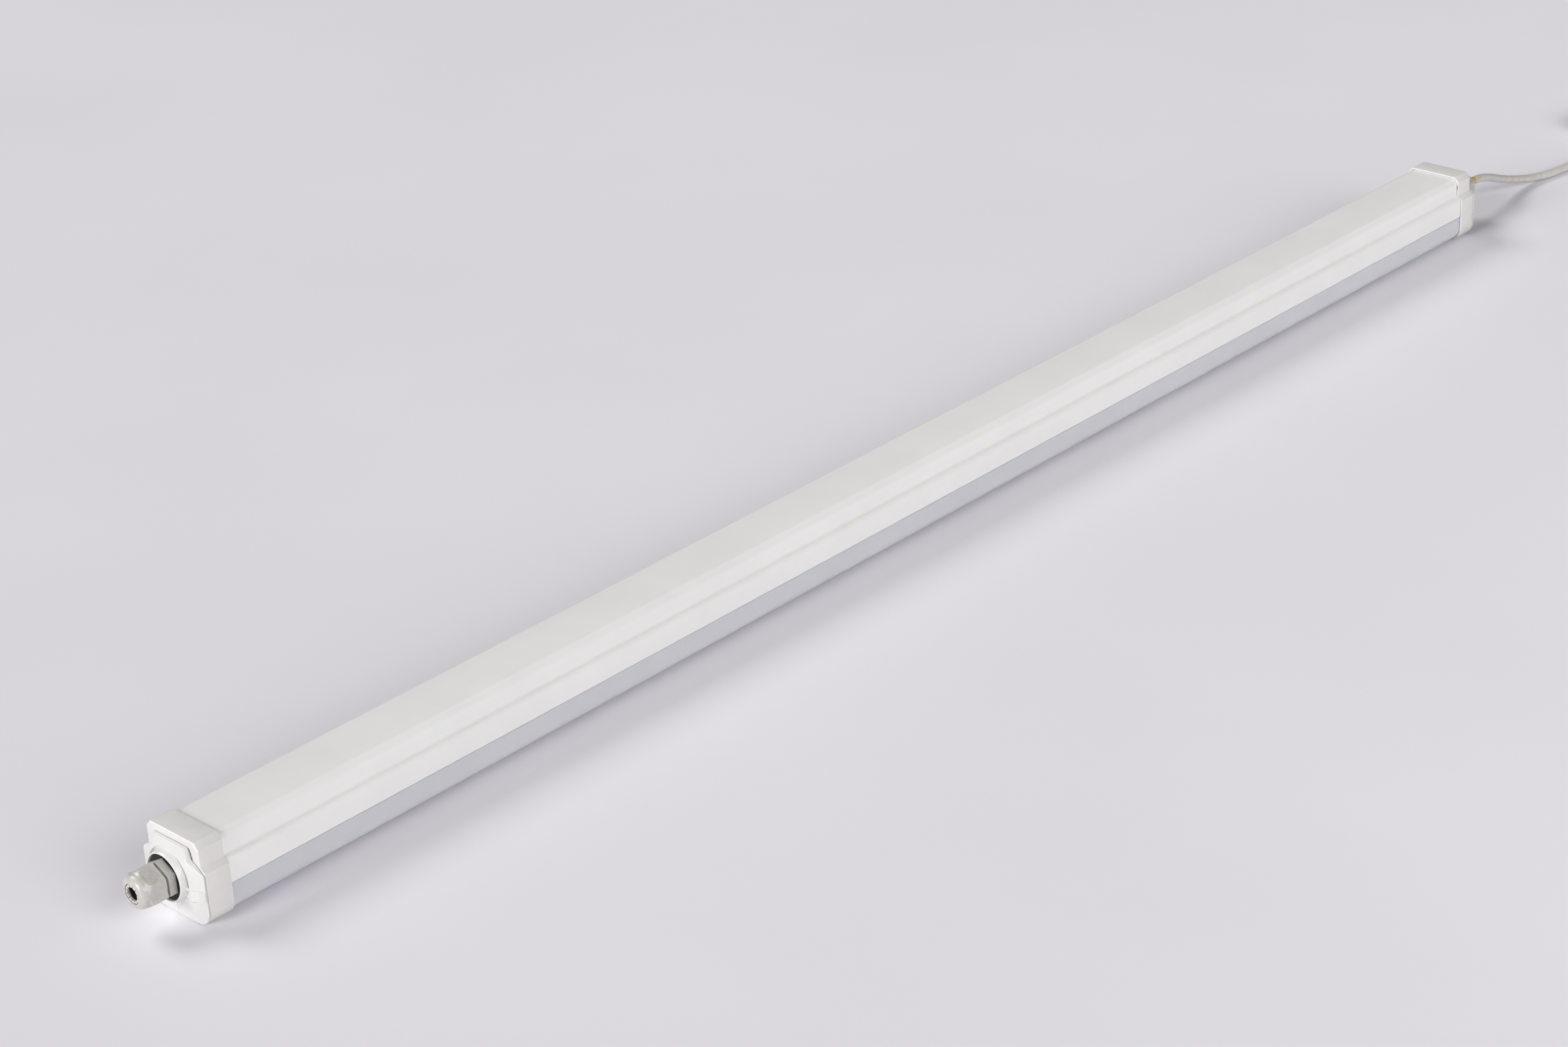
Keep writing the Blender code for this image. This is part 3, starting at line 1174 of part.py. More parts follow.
def make_through_wires(maker, height):
    """Line, neutral and earth from the supply socket along the tray to the left block."""
    low = TRAY_FLOOR + WIRE_RADIUS
    hop = TRAY_TOP + TRAY_RIB_HEIGHT + WIRE_HOP
    left = BLOCK_MIDDLE + BLOCK_LENGTH / 2 - ENTRY_DEPTH / 2
    right = SOCKET_MIDDLE - BLOCK_LENGTH / 2 + ENTRY_DEPTH / 2
    kinds = (("live", "wire_brown"), ("neutral", "wire_blue"), ("earth", "wire_earth"))
    for (name, material), across, channel in zip(kinds, pole_places()[::-1], WIRE_CHANNEL_ACROSS):
        head = curve_through([
            (left, across, height), (left + ENTRY_DEPTH, across, height),
            (left + WIRE_TURN_RUN / 2, (across + channel) / 2, hop), (left + WIRE_TURN_RUN, channel, hop - WIRE_RADIUS),
            (left + WIRE_TURN_RUN * 3 / 2, channel, low + WIRE_RADIUS), (left + WIRE_TURN_RUN * 2, channel, low),
        ], WIRE_POINT_STEP)
        back = [(left + right - x, y, z) for x, y, z in reversed(head)]
        maker.tube(f"through_wire_{name}", [head + back], WIRE_RADIUS, resolution=1, material=material)


def make_supply_tail(maker, frame, height, plug_back):
    """The cord inside the right gland, and its cores up to the plug."""
    start = INSERT_FRONT - TAIL_SETBACK
    maker.tube(
        "cord_tail", [[(-start, 0.0, GLAND_HEIGHT), (TAIL_INSIDE, 0.0, GLAND_HEIGHT)]], CORD_RADIUS,
        material="cord_white", parent=frame,
    )
    begin = TAIL_INSIDE + SEAT_GAP
    end = plug_back + ENTRY_DEPTH / 2
    kinds = (("live", "wire_brown"), ("neutral", "wire_blue"), ("earth", "wire_earth"))
    for index, (name, material) in enumerate(kinds):
        across = pole_places()[index]
        near = (index - 1) * CORE_SPREAD
        rise = GLAND_HEIGHT + (CORE_SPREAD / 2 if index == 1 else -CORE_SPREAD / 2)
        route = [
            (begin, near, rise), (begin + CORE_SPREAD, near, rise),
            ((begin + plug_back) / 2, (near + across) / 2, (rise + height) / 2),
            (plug_back - CORE_SPREAD, across, height), (end, across, height),
        ]
        maker.tube(
            f"supply_core_{name}", [curve_through(route, CORE_POINT_STEP)], CORE_RADIUS, resolution=1,
            material=material, parent=frame,
        )


def make_cord(maker):
    """The supply cord: its free stretch, its coil, its end and its stripped cores."""
    route = curve_through(CORD_ROUTE, CORD_POINT_STEP)
    maker.tube("cord_free", [route], CORD_RADIUS, material="cord_white")
    coil = coil_path()
    maker.tube("cord_coil", [coil], CORD_RADIUS, resolution=1, material="cord_white")
    tail = curve_through(CORD_TAIL_ROUTE, TAIL_POINT_STEP)
    maker.tube("cord_end", [tail], CORD_RADIUS, material="cord_white")
    gap = coil_gap(coil)
    print(f"coil: least gap to itself {gap / MM:.2f} mm, wanted over {COIL_SELF_GAP / MM:.2f} mm")
    length = path_length(route) + path_length(coil) + path_length(tail)
    print(f"cord: {length:.3f} m of sheath outside the gland")
    for name, material in (("live", "wire_brown"), ("neutral", "wire_blue"), ("earth", "wire_earth")):
        route = curve_through(CORE_ROUTES[name], CORE_POINT_STEP)
        core = maker.tube(f"cord_core_{name}", [route], CORE_RADIUS, resolution=1, material=material)
        end = Vector(route[-1])
        way = (end - Vector(route[-2])).normalized()
        way.z = 0.0
        tip = [tuple(end - way * CORE_RADIUS), tuple(end + way * CORE_TIP_LENGTH)]
        boolean(core, maker.tube(f"core_tip_{name}", [tip], CORE_TIP_RADIUS, resolution=1, cutter=True), "UNION")


def main():
    """Build the whole light."""
    clear_scene()
    maker = Maker()
    make_materials(maker)
    make_long_section(maker)
    frames = {}
    for end, (place, turn) in ENDS.items():
        frames[end] = maker.empty(f"frame_{end}", (place, 0.0, 0.0), turn)
        make_collar(maker, end, frames[end])
        make_cover(maker, end, frames[end])
        make_gland(maker, end, frames[end])
    make_tray(maker)
    make_boards(maker)
    make_driver(maker)
    height, plug_back = make_connectors(maker, frames["right"])
    make_through_wires(maker, height)
    make_supply_tail(maker, frames["right"], height, plug_back)
    make_cord(maker)
    for item in maker.parts.objects:
        smooth(item)
    bpy.context.view_layer.update()


main()
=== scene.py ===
# %% [markdown]
# # A vapor tight LED light
# This is a 1.5 m light for damp rooms: a white extruded housing and an opal diffuser make one
# long tube, and a moulded collar, a cover and a cable gland close each end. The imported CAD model
# gives every size and place. This lesson dresses it: each visible piece is worked out again as a
# fine surface with numpy, and each finish is a small procedural material.

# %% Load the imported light
import json
import math
import bmesh
import bpy
import numpy as np
from mathutils import Matrix, Vector


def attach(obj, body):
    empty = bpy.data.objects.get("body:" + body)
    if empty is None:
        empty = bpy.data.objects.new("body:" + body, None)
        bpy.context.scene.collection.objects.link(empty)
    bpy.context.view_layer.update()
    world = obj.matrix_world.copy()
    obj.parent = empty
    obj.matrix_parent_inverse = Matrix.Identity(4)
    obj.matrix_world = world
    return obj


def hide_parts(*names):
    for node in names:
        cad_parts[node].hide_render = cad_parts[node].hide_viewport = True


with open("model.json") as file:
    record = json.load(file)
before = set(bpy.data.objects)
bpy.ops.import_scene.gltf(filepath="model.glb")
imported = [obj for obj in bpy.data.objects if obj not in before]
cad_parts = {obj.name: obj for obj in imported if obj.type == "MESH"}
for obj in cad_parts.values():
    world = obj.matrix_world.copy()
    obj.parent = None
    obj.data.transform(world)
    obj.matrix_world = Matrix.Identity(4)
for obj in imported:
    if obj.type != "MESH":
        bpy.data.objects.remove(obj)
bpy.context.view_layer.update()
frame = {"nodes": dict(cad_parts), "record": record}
MM = 0.001
BODY_OF = {node: body for body, nodes in frame["record"]["behaviour"]["bodies"].items() for node in nodes}

# %% [markdown]
# ## The camera
# The camera comes first, because every later choice is seen through it. Its place and turn
# were worked out from the light's own straight edges, so the tube runs from the lower left of
# the picture to the upper right, with the near gland pointing at the viewer.

# %% Camera
IMAGE_WIDTH = 2349
FOCAL_PIXELS = 5001.08
SENSOR_WIDTH = 36.0
VIEW_REACH = 50.0
CAMERA_PLACE = (-1.79331, -1.59277, 1.18315)
CAMERA_RIGHT = (0.6796876, -0.7317302, -0.0509477)
CAMERA_DOWN = (-0.3570341, -0.2693665, -0.8944095)
CAMERA_FORWARD = (0.6407428, 0.6261092, -0.4443377)

camera = bpy.data.objects.new("camera", bpy.data.cameras.new("camera"))
bpy.context.scene.collection.objects.link(camera)
turn = np.array([CAMERA_RIGHT, CAMERA_DOWN, CAMERA_FORWARD]).T * (1.0, -1.0, -1.0)
camera.matrix_world = Matrix.Translation(CAMERA_PLACE) @ Matrix(turn.tolist()).to_4x4()
camera.data.sensor_width = SENSOR_WIDTH
camera.data.lens = FOCAL_PIXELS / IMAGE_WIDTH * SENSOR_WIDTH
camera.data.clip_end = VIEW_REACH
bpy.context.scene.camera = camera
print("lens in mm:", round(camera.data.lens, 2))

# %% [markdown]
# ## Materials
# A finish starts from the real material and how its surface was made. Colours are written as the
# sRGB hex values that a paint tool shows, and one function turns them into the linear values that
# the shader wants. One small function adds a node, so each material below reads as a recipe.

# %% Helpers for materials
def linear(code):
    """An sRGB hex value as linear red, green, blue and alpha."""
    channels = np.array([int(code[index:index + 2], 16) for index in (1, 3, 5)]) / 255.0
    low = channels / 12.92
    high = ((channels + 0.055) / 1.055) ** 2.4
    return (*np.where(channels <= 0.04045, low, high), 1.0)


def add(tree, kind, settings=None, **links):
    """Add a node, set its fields or inputs, and link inputs, named with _ for a space or _ and a number."""
    node = tree.nodes.new(kind)
    for name, value in (settings or {}).items():
        if name in node.inputs:
            node.inputs[name].default_value = value
        else:
            setattr(node, name, value)
    for name, socket in links.items():
        plain = name.replace("_", " ")
        tree.links.new(node.inputs[int(name[1:]) if name[1:].isdigit() else plain], socket)
    return node


def finish(name, colour, roughness, metallic=0.0, **sockets):
    """A new Principled material and its tree, shader and Object coordinates."""
    material = bpy.data.materials.new(name)
    material.use_nodes = True
    tree = material.node_tree
    shader = tree.nodes["Principled BSDF"]
    shader.inputs["Base Color"].default_value = linear(colour)
    shader.inputs["Roughness"].default_value = roughness
    shader.inputs["Metallic"].default_value = metallic
    for socket, value in sockets.items():
        shader.inputs[socket.replace("_", " ")].default_value = value
    place = add(tree, "ShaderNodeTexCoord").outputs["Object"]
    return material, tree, shader, place


print("colour, node and finish helpers ready")

# %% [markdown]
# No plastic has quite one colour or gloss. Three patterns come back in nearly every finish here: a
# cloudy mix of two close colours, a gloss that wanders, and a fine relief. All three are soft noise
# on Object coordinates, with a scale worked out from a real size, so they stay on the piece when
# it moves and keep their size on every piece.

# %% Patterns that the finishes share
CLOUD_RANGE = (0.35, 0.65)
GLOSS_RANGE = (0.3, 0.7)


def mottled(tree, place, first, second, size):
    """Two close colours mixed by soft noise whose blobs are size metres wide."""
    noise = add(tree, "ShaderNodeTexNoise", {"Scale": 1.0 / size, "Detail": 3.0}, Vector=place)
    low, high = CLOUD_RANGE
    share = add(tree, "ShaderNodeMapRange", {"From Min": low, "From Max": high}, Value=noise.outputs["Fac"])
    mix = add(tree, "ShaderNodeMix", {"data_type": "RGBA"}, _0=share.outputs["Result"])
    mix.inputs[6].default_value = linear(first)
    mix.inputs[7].default_value = linear(second)
    return mix.outputs[2]


def paint(tree, shader, colour):
    """The shader takes its base colour from a pattern."""
    tree.links.new(shader.inputs["Base Color"], colour)


def uneven_gloss(tree, shader, place, low, high, size):
    """Roughness that wanders between two values over patches size metres wide."""
    noise = add(tree, "ShaderNodeTexNoise", {"Scale": 1.0 / size, "Detail": 4.0}, Vector=place)
    spread = {"From Min": GLOSS_RANGE[0], "From Max": GLOSS_RANGE[1], "To Min": low, "To Max": high}
    gloss = add(tree, "ShaderNodeMapRange", spread, Value=noise.outputs["Fac"])
    tree.links.new(shader.inputs["Roughness"], gloss.outputs["Result"])


def grained(tree, shader, place, size, depth, detail=3.0):
    """Relief of soft noise whose grains are size metres wide and depth metres high."""
    noise = add(tree, "ShaderNodeTexNoise", {"Scale": 1.0 / size, "Detail": detail}, Vector=place)
    relief = add(tree, "ShaderNodeBump", {"Distance": depth, "Strength": 1.0}, Height=noise.outputs["Fac"])
    tree.links.new(shader.inputs["Normal"], relief.outputs["Normal"])


def drawn_lines(tree, shader, place, width, length, depth, detail):
    """Relief of faint lines along X: the same noise, stretched from the lines' width to their length."""
    stretch = add(tree, "ShaderNodeMapping", {"Scale": (width / length, 1.0, 1.0)}, Vector=place)
    grained(tree, shader, stretch.outputs["Vector"], width, depth, detail)


print("pattern helpers ready")

# %% [markdown]
# ### White plastics
# The housing is extruded polycarbonate: drawn through a die, so its faint lines run along the
# light. The collars and covers are injection moulded from the same plastic, a little greyer, with
# the very fine grain of an eroded mould and a few tiny specks. Both have a satin gloss and an IOR
# of 1.58. The real grain is too fine to show, so it is drawn a little coarser.

# %% White housing and moulded ends
DIE_LINE_WIDTH = 1.1 * MM
DIE_LINE_LENGTH = 900.0 * MM
MOULD_GRAIN = 0.5 * MM
SPECK_SPACING = 9.0 * MM
SPECK_EDGE = (0.015, 0.035)
SPECK_COLOUR = "#C9C6C3"


def extruded_white():
    """Extruded white polycarbonate: satin, with faint die lines along X."""
    material, tree, shader, place = finish("extruded_polycarbonate_white", "#F0EFED", 0.34, IOR=1.58)
    paint(tree, shader, mottled(tree, place, "#F0EFED", "#EDECEB", 45.0 * MM))
    uneven_gloss(tree, shader, place, 0.30, 0.38, 30.0 * MM)
    drawn_lines(tree, shader, place, DIE_LINE_WIDTH, DIE_LINE_LENGTH, 0.006 * MM, 2.0)
    return material


def moulded_white(name, low, high):
    """Injection moulded polycarbonate: bright, satin, with a fine even grain and a few tiny specks."""
    material, tree, shader, place = finish(name, high, 0.32, IOR=1.58)
    specks = add(tree, "ShaderNodeTexVoronoi", {"Scale": 1.0 / SPECK_SPACING, "feature": "F1"}, Vector=place)
    edge = {"From Min": SPECK_EDGE[0], "From Max": SPECK_EDGE[1], "To Min": 1.0, "To Max": 0.0}
    speck = add(tree, "ShaderNodeMapRange", edge, Value=specks.outputs["Distance"])
    cloud = mottled(tree, place, low, high, 12.0 * MM)
    mix = add(tree, "ShaderNodeMix", {"data_type": "RGBA"}, _0=speck.outputs["Result"], _6=cloud)
    mix.inputs[7].default_value = linear(SPECK_COLOUR)
    paint(tree, shader, mix.outputs[2])
    uneven_gloss(tree, shader, place, 0.28, 0.37, 8.0 * MM)
    grained(tree, shader, place, MOULD_GRAIN, 0.012 * MM)
    return material


housing_finish = extruded_white()
collar_finish = moulded_white("moulded_polycarbonate_collar", "#DFDDDA", "#E3E1DE")
cover_finish = moulded_white("moulded_polycarbonate_cover", "#D9D8D6", "#DDDCDA")
print("white finishes:", housing_finish.name, collar_finish.name, cover_finish.name)

# %% [markdown]
# ### Opal diffuser
# The diffuser is polycarbonate with a milky filler, extruded with a matt skin, so there is no clear
# reflection. Its colour is a little darker than the white housing's, partly because light sinks in
# and partly as painted shade, and its violet tint is a painted reflection of the violet floor.

# %% Opal diffuser
SINK_DEPTH = 9.0 * MM
FROST_GRAIN = 0.35 * MM


def opal():
    """Matt opal polycarbonate, with light that sinks a few millimetres in."""
    # The base colour and its mottle below hold painted shade and a painted violet reflection of the floor.
    material, tree, shader, place = finish(
        "opal_polycarbonate", "#E7E5EC", 0.5, IOR=1.58, Subsurface_Weight=0.9, Subsurface_Scale=SINK_DEPTH,
    )
    shader.inputs["Subsurface Radius"].default_value = (1.0, 0.95, 0.9)
    paint(tree, shader, mottled(tree, place, "#E7E5EC", "#E3E1E9", 60.0 * MM))
    grained(tree, shader, place, FROST_GRAIN, 0.015 * MM, 2.0)
    return material


diffuser_finish = opal()
print("diffuser finish:", diffuser_finish.name)

# %% [markdown]
# ### Nylon, rubber and silicone
# The glands are polyamide, the common pale grey of cable fittings. Where the tool was polished, as
# on the domed nut, the gloss is high. The seal and the washer are black rubber with a dull bloom,
# and the cover's gasket is a pale silicone cord.

# %% Gland, seal and gasket finishes
NYLON_SINK = 1.2 * MM
NYLON_GRAIN = 0.4 * MM
RUBBER_GRAIN = 0.3 * MM


def nylon(name, low, high, gloss_low, gloss_high):
    """Moulded grey polyamide, slightly cloudy."""
    material, tree, shader, place = finish(
        name, high, gloss_low, IOR=1.53, Subsurface_Weight=0.08, Subsurface_Scale=NYLON_SINK,
    )
    paint(tree, shader, mottled(tree, place, low, high, 4.0 * MM))
    uneven_gloss(tree, shader, place, gloss_low, gloss_high, 3.0 * MM)
    grained(tree, shader, place, NYLON_GRAIN, 0.008 * MM)
    return material


def rubber(name, low, high, roughness, grain_depth):
    """A dull elastic plastic with a soft fine grain."""
    material, tree, shader, place = finish(name, high, roughness, IOR=1.5)
    paint(tree, shader, mottled(tree, place, low, high, 3.0 * MM))
    grained(tree, shader, place, RUBBER_GRAIN, grain_depth, 4.0)
    return material


nut_finish = nylon("polyamide_grey_polished", "#BAB8B3", "#C2C0BB", 0.22, 0.32)
gland_finish = nylon("polyamide_grey", "#ADABA6", "#B5B3AE", 0.34, 0.46)
claw_finish = nylon("polyamide_light", "#CECCC6", "#D6D4CF", 0.3, 0.4)
rubber_finish = rubber("rubber_black", "#151517", "#1E1E20", 0.62, 0.02 * MM)
silicone_finish = rubber("silicone_white", "#D9D9D4", "#E0E0DB", 0.5, 0.01 * MM)
print("gland finishes:", nut_finish.name, gland_finish.name, claw_finish.name)

# %% [markdown]
# ## A mesh from a grid of points
# Nearly every visible piece is a surface of two parameters: a row number and a place round the
# piece. One function puts such a grid into a mesh. It joins the last row and column to the first
# where the surface closes, welds what meets, turns all faces outwards and keeps hard edges hard.

# %% Grid to mesh
WELD = 0.002 * MM
CREASE = math.radians(34.0)


def grid_faces(rows, columns, close_rows, close_columns):
    """Four corners for each cell: a point, its neighbour along the row, and the two in the next row."""
    index = np.arange(rows * columns).reshape(rows, columns)
    if close_rows:
        index = np.vstack([index, index[:1]])
    if close_columns:
        index = np.hstack([index, index[:, :1]])
    return np.stack([index[:-1, :-1], index[:-1, 1:], index[1:, 1:], index[1:, :-1]], axis=-1).reshape(-1, 4)


def surface(name, grids, material):
    """One object from one or more grids of points in metres, each with its two closing flags."""
    points, faces, count = [], [], 0
    for grid, close_rows, close_columns in grids:
        rows, columns = grid.shape[:2]
        points.append(grid.reshape(-1, 3))
        faces.append(grid_faces(rows, columns, close_rows, close_columns) + count)
        count += rows * columns
    mesh = bpy.data.meshes.new(name)
    mesh.from_pydata(np.concatenate(points), [], np.concatenate(faces))
    form = bmesh.new()
    form.from_mesh(mesh)
    bmesh.ops.remove_doubles(form, verts=form.verts, dist=WELD)
    bmesh.ops.dissolve_degenerate(form, edges=form.edges, dist=WELD)
    bmesh.ops.recalc_face_normals(form, faces=form.faces)
    form.to_mesh(mesh)
    form.free()
    mesh.shade_smooth()
    mesh.set_sharp_from_angle(angle=CREASE)
    mesh.materials.append(material)
    piece = bpy.data.objects.new(name, mesh)
    bpy.context.scene.collection.objects.link(piece)
    return piece


def stand_for(piece, slot, *nodes):
    """The piece replaces CAD nodes and rides on the body of the first; its slot is not used."""
    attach(piece, BODY_OF[nodes[0]])
    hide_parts(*nodes)
    print(piece.name, "for", ", ".join(nodes), "with", len(piece.data.polygons), "faces")


# %% [markdown]
# ## The supply cord
# The cord leaves the far gland, droops to the floor and runs out of the picture. The rest of its
# length is wound in a flat coil of two layers in line with the light, and its sheath ends in
# three stripped cores, as the maker delivers it. Where the cord runs free, its route is a short
# list of points in metres, the same as in the CAD model.

# %% Route of the cord
CORD_RADIUS = 3.75 * MM
CORD_ROUTE = np.array([
    (0.7813, 0.0, 0.033), (0.789, 0.0, 0.033), (0.798, 0.0, 0.0329), (0.808, 0.0, 0.032),
    (0.819, 0.0, 0.0296), (0.831, 0.0, 0.0256), (0.844, 0.0, 0.0206), (0.857, -0.0002, 0.016),
    (0.87, -0.0008, 0.012), (0.883, -0.002, 0.0086), (0.896, -0.004, 0.006), (0.909, -0.0066, 0.0044),
    (0.922, -0.0094, 0.0038), (0.935, -0.0118, 0.0038), (0.948, -0.0134, 0.0038), (0.961, -0.0146, 0.0038),
    (0.974, -0.0168, 0.0038), (0.987, -0.02, 0.0038), (1.0, -0.0239, 0.0038), (1.013, -0.0279, 0.0038),
    (1.026, -0.0315, 0.0038), (1.039, -0.0343, 0.0038), (1.052, -0.0364, 0.0038), (1.064, -0.0376, 0.0038),
    (1.07, -0.038, 0.0038),
])
CORD_TAIL_ROUTE = np.array([
    (1.094, -0.038, 0.0117), (1.0986, -0.0369, 0.0117), (1.1037, -0.0345, 0.0117), (1.1098, -0.0309, 0.0117),
    (1.1152, -0.0262, 0.0117), (1.12, -0.0209, 0.0117), (1.1238, -0.0148, 0.0117), (1.1268, -0.0082, 0.0117),
    (1.1285, -0.0012, 0.0117), (1.1292, 0.006, 0.0117),
])
print("chosen points on the free stretches:", len(CORD_ROUTE) + len(CORD_TAIL_ROUTE))

# %% [markdown]
# The coil is worked out: three turns in two layers, which come closer to the middle in the lower
# layer and go out again in the upper one, so that no turn lies inside another. All the points
# together are then joined by a Catmull-Rom curve, a smooth curve through every one of them.

# %% Coil and smooth curve
COIL_CENTRE = (1.083, 0.006)
COIL_OUTER = 44.0 * MM
COIL_PITCH = 8.0 * MM
COIL_LAYER = 7.95 * MM
COIL_LIFT = 0.05 * MM
COIL_TURNS = 3
COIL_LEAD_IN = 7.5 * MM
COIL_POINTS = 24
CURVE_STEPS = 4


def coil_route():
    """Even angles; the radius falls by a pitch each turn to the middle, then grows; the height steps up."""
    turns = np.arange(COIL_TURNS * COIL_POINTS + 1) / COIL_POINTS
    half = COIL_TURNS / 2
    radius = COIL_OUTER - COIL_PITCH * (half - np.abs(half - turns))
    climb = np.clip((turns - half) * 2.0 + 0.5, 0.0, 1.0)
    height = CORD_RADIUS + COIL_LIFT + COIL_LAYER * climb ** 2 * (3.0 - 2.0 * climb)
    angle = 2.0 * math.pi * turns - math.pi / 2
    loops = np.stack(
        [COIL_CENTRE[0] + radius * np.cos(angle), COIL_CENTRE[1] + radius * np.sin(angle), height], axis=1,
    )
    lead = np.array([COIL_LEAD_IN, 0.0, 0.0])
    return np.vstack([loops[:1] - lead, loops, loops[-1:] + lead])


def smooth_route(points, steps):
    """Catmull-Rom: each span blends four neighbouring points with cubic weights."""
    padded = np.vstack([2 * points[:1] - points[1:2], points, 2 * points[-1:] - points[-2:-1]])
    before, start, end, after = padded[:-3], padded[1:-2], padded[2:-1], padded[3:]
    share = (np.arange(steps) / steps)[:, None, None]
    curve = 0.5 * (
        2 * start + (end - before) * share + (2 * before - 5 * start + 4 * end - after) * share ** 2
        + (3 * start - before - 3 * end + after) * share ** 3
    )
    return np.vstack([curve.transpose(1, 0, 2).reshape(-1, 3), points[-1:]])


cord_path = smooth_route(np.vstack([CORD_ROUTE, coil_route(), CORD_TAIL_ROUTE]), CURVE_STEPS)

# %% [markdown]
# A cord is a tube: one circle, carried along the route and set across it at each point. The
# circles are one grid, so the cord is a single skin. Each vertex also remembers how far along the
# route it lies, so that a colour can follow the cord.

# %% Tube along a route
def tube(name, path, radius, material, sides):
    """Circles carried along a path: each lies across the path's direction, with one axis kept level."""
    ahead = np.gradient(path, axis=0)
    ahead /= np.linalg.norm(ahead, axis=1, keepdims=True)
    side = np.cross(ahead, (0.0, 0.0, 1.0))
    side /= np.linalg.norm(side, axis=1, keepdims=True)
    up = np.cross(side, ahead)
    angle = np.linspace(0.0, 2.0 * math.pi, sides, endpoint=False)[None, :, None]
    rings = path[:, None] + radius * (np.cos(angle) * side[:, None] + np.sin(angle) * up[:, None])
    start, end = np.repeat(path[:1, None], sides, 1), np.repeat(path[-1:, None], sides, 1)
    closed = np.concatenate([start, rings, end])
    return surface(name, [(closed, False, True)], material)


def mark_distance(piece, path):
    """Store on each vertex how far along the path its nearest point lies, in metres."""
    travelled = np.concatenate([[0.0], np.cumsum(np.linalg.norm(np.diff(path, axis=0), axis=1))])
    corners = np.empty(len(piece.data.vertices) * 3)
    piece.data.vertices.foreach_get("co", corners)
    gaps = np.linalg.norm(corners.reshape(-1, 1, 3) - path[None], axis=2)
    along = piece.data.attributes.new("along", "FLOAT", "POINT")
    along.data.foreach_set("value", travelled[gaps.argmin(axis=1)])


print("tube helpers ready")

# %% [markdown]
# The sheath is soft white PVC, with a few olive and yellow marks in its first 20 mm that look as if
# tape had been there. A colour ramp along the cord paints them, read from the distance that the
# vertices hold, in real millimetres.

# %% Sheath and its marks
MARK_REACH = 50.0 * MM
MARKS = (
    (0.0, "#CECAC4"), (4.6, "#CECAC4"), (5.2, "#A8A474"), (7.6, "#B4AE80"),
    (8.4, "#C8BE8C"), (11.0, "#CDBC8A"), (12.2, "#D2C9A4"), (13.6, "#C9A665"),
    (15.4, "#CBAA6C"), (16.6, "#D0C6A8"), (24.0, "#D0CBBC"), (27.0, "#CFCBC6"),
)
SHEATH_SINK = 1.5 * MM
SHEATH_GRAIN = 0.6 * MM


def sheath():
    """Soft PVC, satin, with a few coloured marks near the gland and a faint cloudiness."""
    material, tree, shader, place = finish(
        "pvc_sheath_white", "#CFCBC6", 0.42, IOR=1.53, Subsurface_Weight=0.1, Subsurface_Scale=SHEATH_SINK,
    )
    along = add(tree, "ShaderNodeAttribute", {"attribute_name": "along"})
    share = add(tree, "ShaderNodeMath", {"operation": "DIVIDE"}, _0=along.outputs["Fac"])
    share.inputs[1].default_value = MARK_REACH
    ramp = add(tree, "ShaderNodeValToRGB", Fac=share.outputs[0])
    stops = ramp.color_ramp.elements
    for index, (distance, code) in enumerate(MARKS):
        stop = stops[index] if index < 2 else stops.new(1.0)
        stop.position = distance * MM / MARK_REACH
        stop.color = linear(code)
    cloud = mottled(tree, place, "#FFFFFF", "#F4F3F2", 6.0 * MM)
    stack = {"data_type": "RGBA", "blend_type": "MULTIPLY", "Factor": 1.0}
    mix = add(tree, "ShaderNodeMix", stack, _6=ramp.outputs["Color"], _7=cloud)
    paint(tree, shader, mix.outputs[2])
    grained(tree, shader, place, SHEATH_GRAIN, 0.01 * MM)
    return material


cord_finish = sheath()
print("cord finish:", cord_finish.name, "with", len(MARKS), "colour stops")

# %% [markdown]
# The cores have glossier PVC in the wiring colours, and each ends in a tip of bare copper strands.
# The strands are finer than a picture can show, so a wave draws a few coarse ridges across the tip.

# %% Cores and copper
STRAND_WAVE = 10.0 * MM
STRAND_TWIST = 0.6
STRAND_DEPTH = 0.05 * MM


def core_finish(name, low, high):
    """Glossy PVC core insulation in one of the wiring colours."""
    material, tree, shader, place = finish(name, high, 0.34, IOR=1.53)
    paint(tree, shader, mottled(tree, place, low, high, 2.0 * MM))
    uneven_gloss(tree, shader, place, 0.3, 0.42, 2.0 * MM)
    return material


def stranded_copper():
    """Bare copper strands: thin ridges wound round the tip."""
    material, tree, shader, place = finish("copper_strands", "#C98A66", 0.32, metallic=1.0)
    turn = add(tree, "ShaderNodeMapping", {"Rotation": (0.0, 0.0, STRAND_TWIST)}, Vector=place)
    ridges = {"Scale": 1.0 / STRAND_WAVE, "Distortion": 1.0}
    wave = add(tree, "ShaderNodeTexWave", ridges, Vector=turn.outputs["Vector"])
    height = {"Distance": STRAND_DEPTH, "Strength": 1.0}
    relief = add(tree, "ShaderNodeBump", height, Height=wave.outputs["Fac"])
    tree.links.new(shader.inputs["Normal"], relief.outputs["Normal"])
    return material


copper_finish = stranded_copper()
CORE_FINISHES = {
    "brown": core_finish("pvc_core_brown", "#5A3A2A", "#66432F"),
    "blue": core_finish("pvc_core_blue", "#2B62A8", "#3570BA"),
    "earth": core_finish("pvc_core_green", "#6F8F2E", "#A3A838"),
    "black": core_finish("pvc_core_black", "#1A1A1C", "#222224"),
    "red": core_finish("pvc_core_red", "#A82A26", "#B8332D"),
}
print("core finishes:", ", ".join(CORE_FINISHES))

# %% [markdown]
# The sheath's tip lies on the coil's last turn, and the three cores fan out from it and bend down
# to the floor.

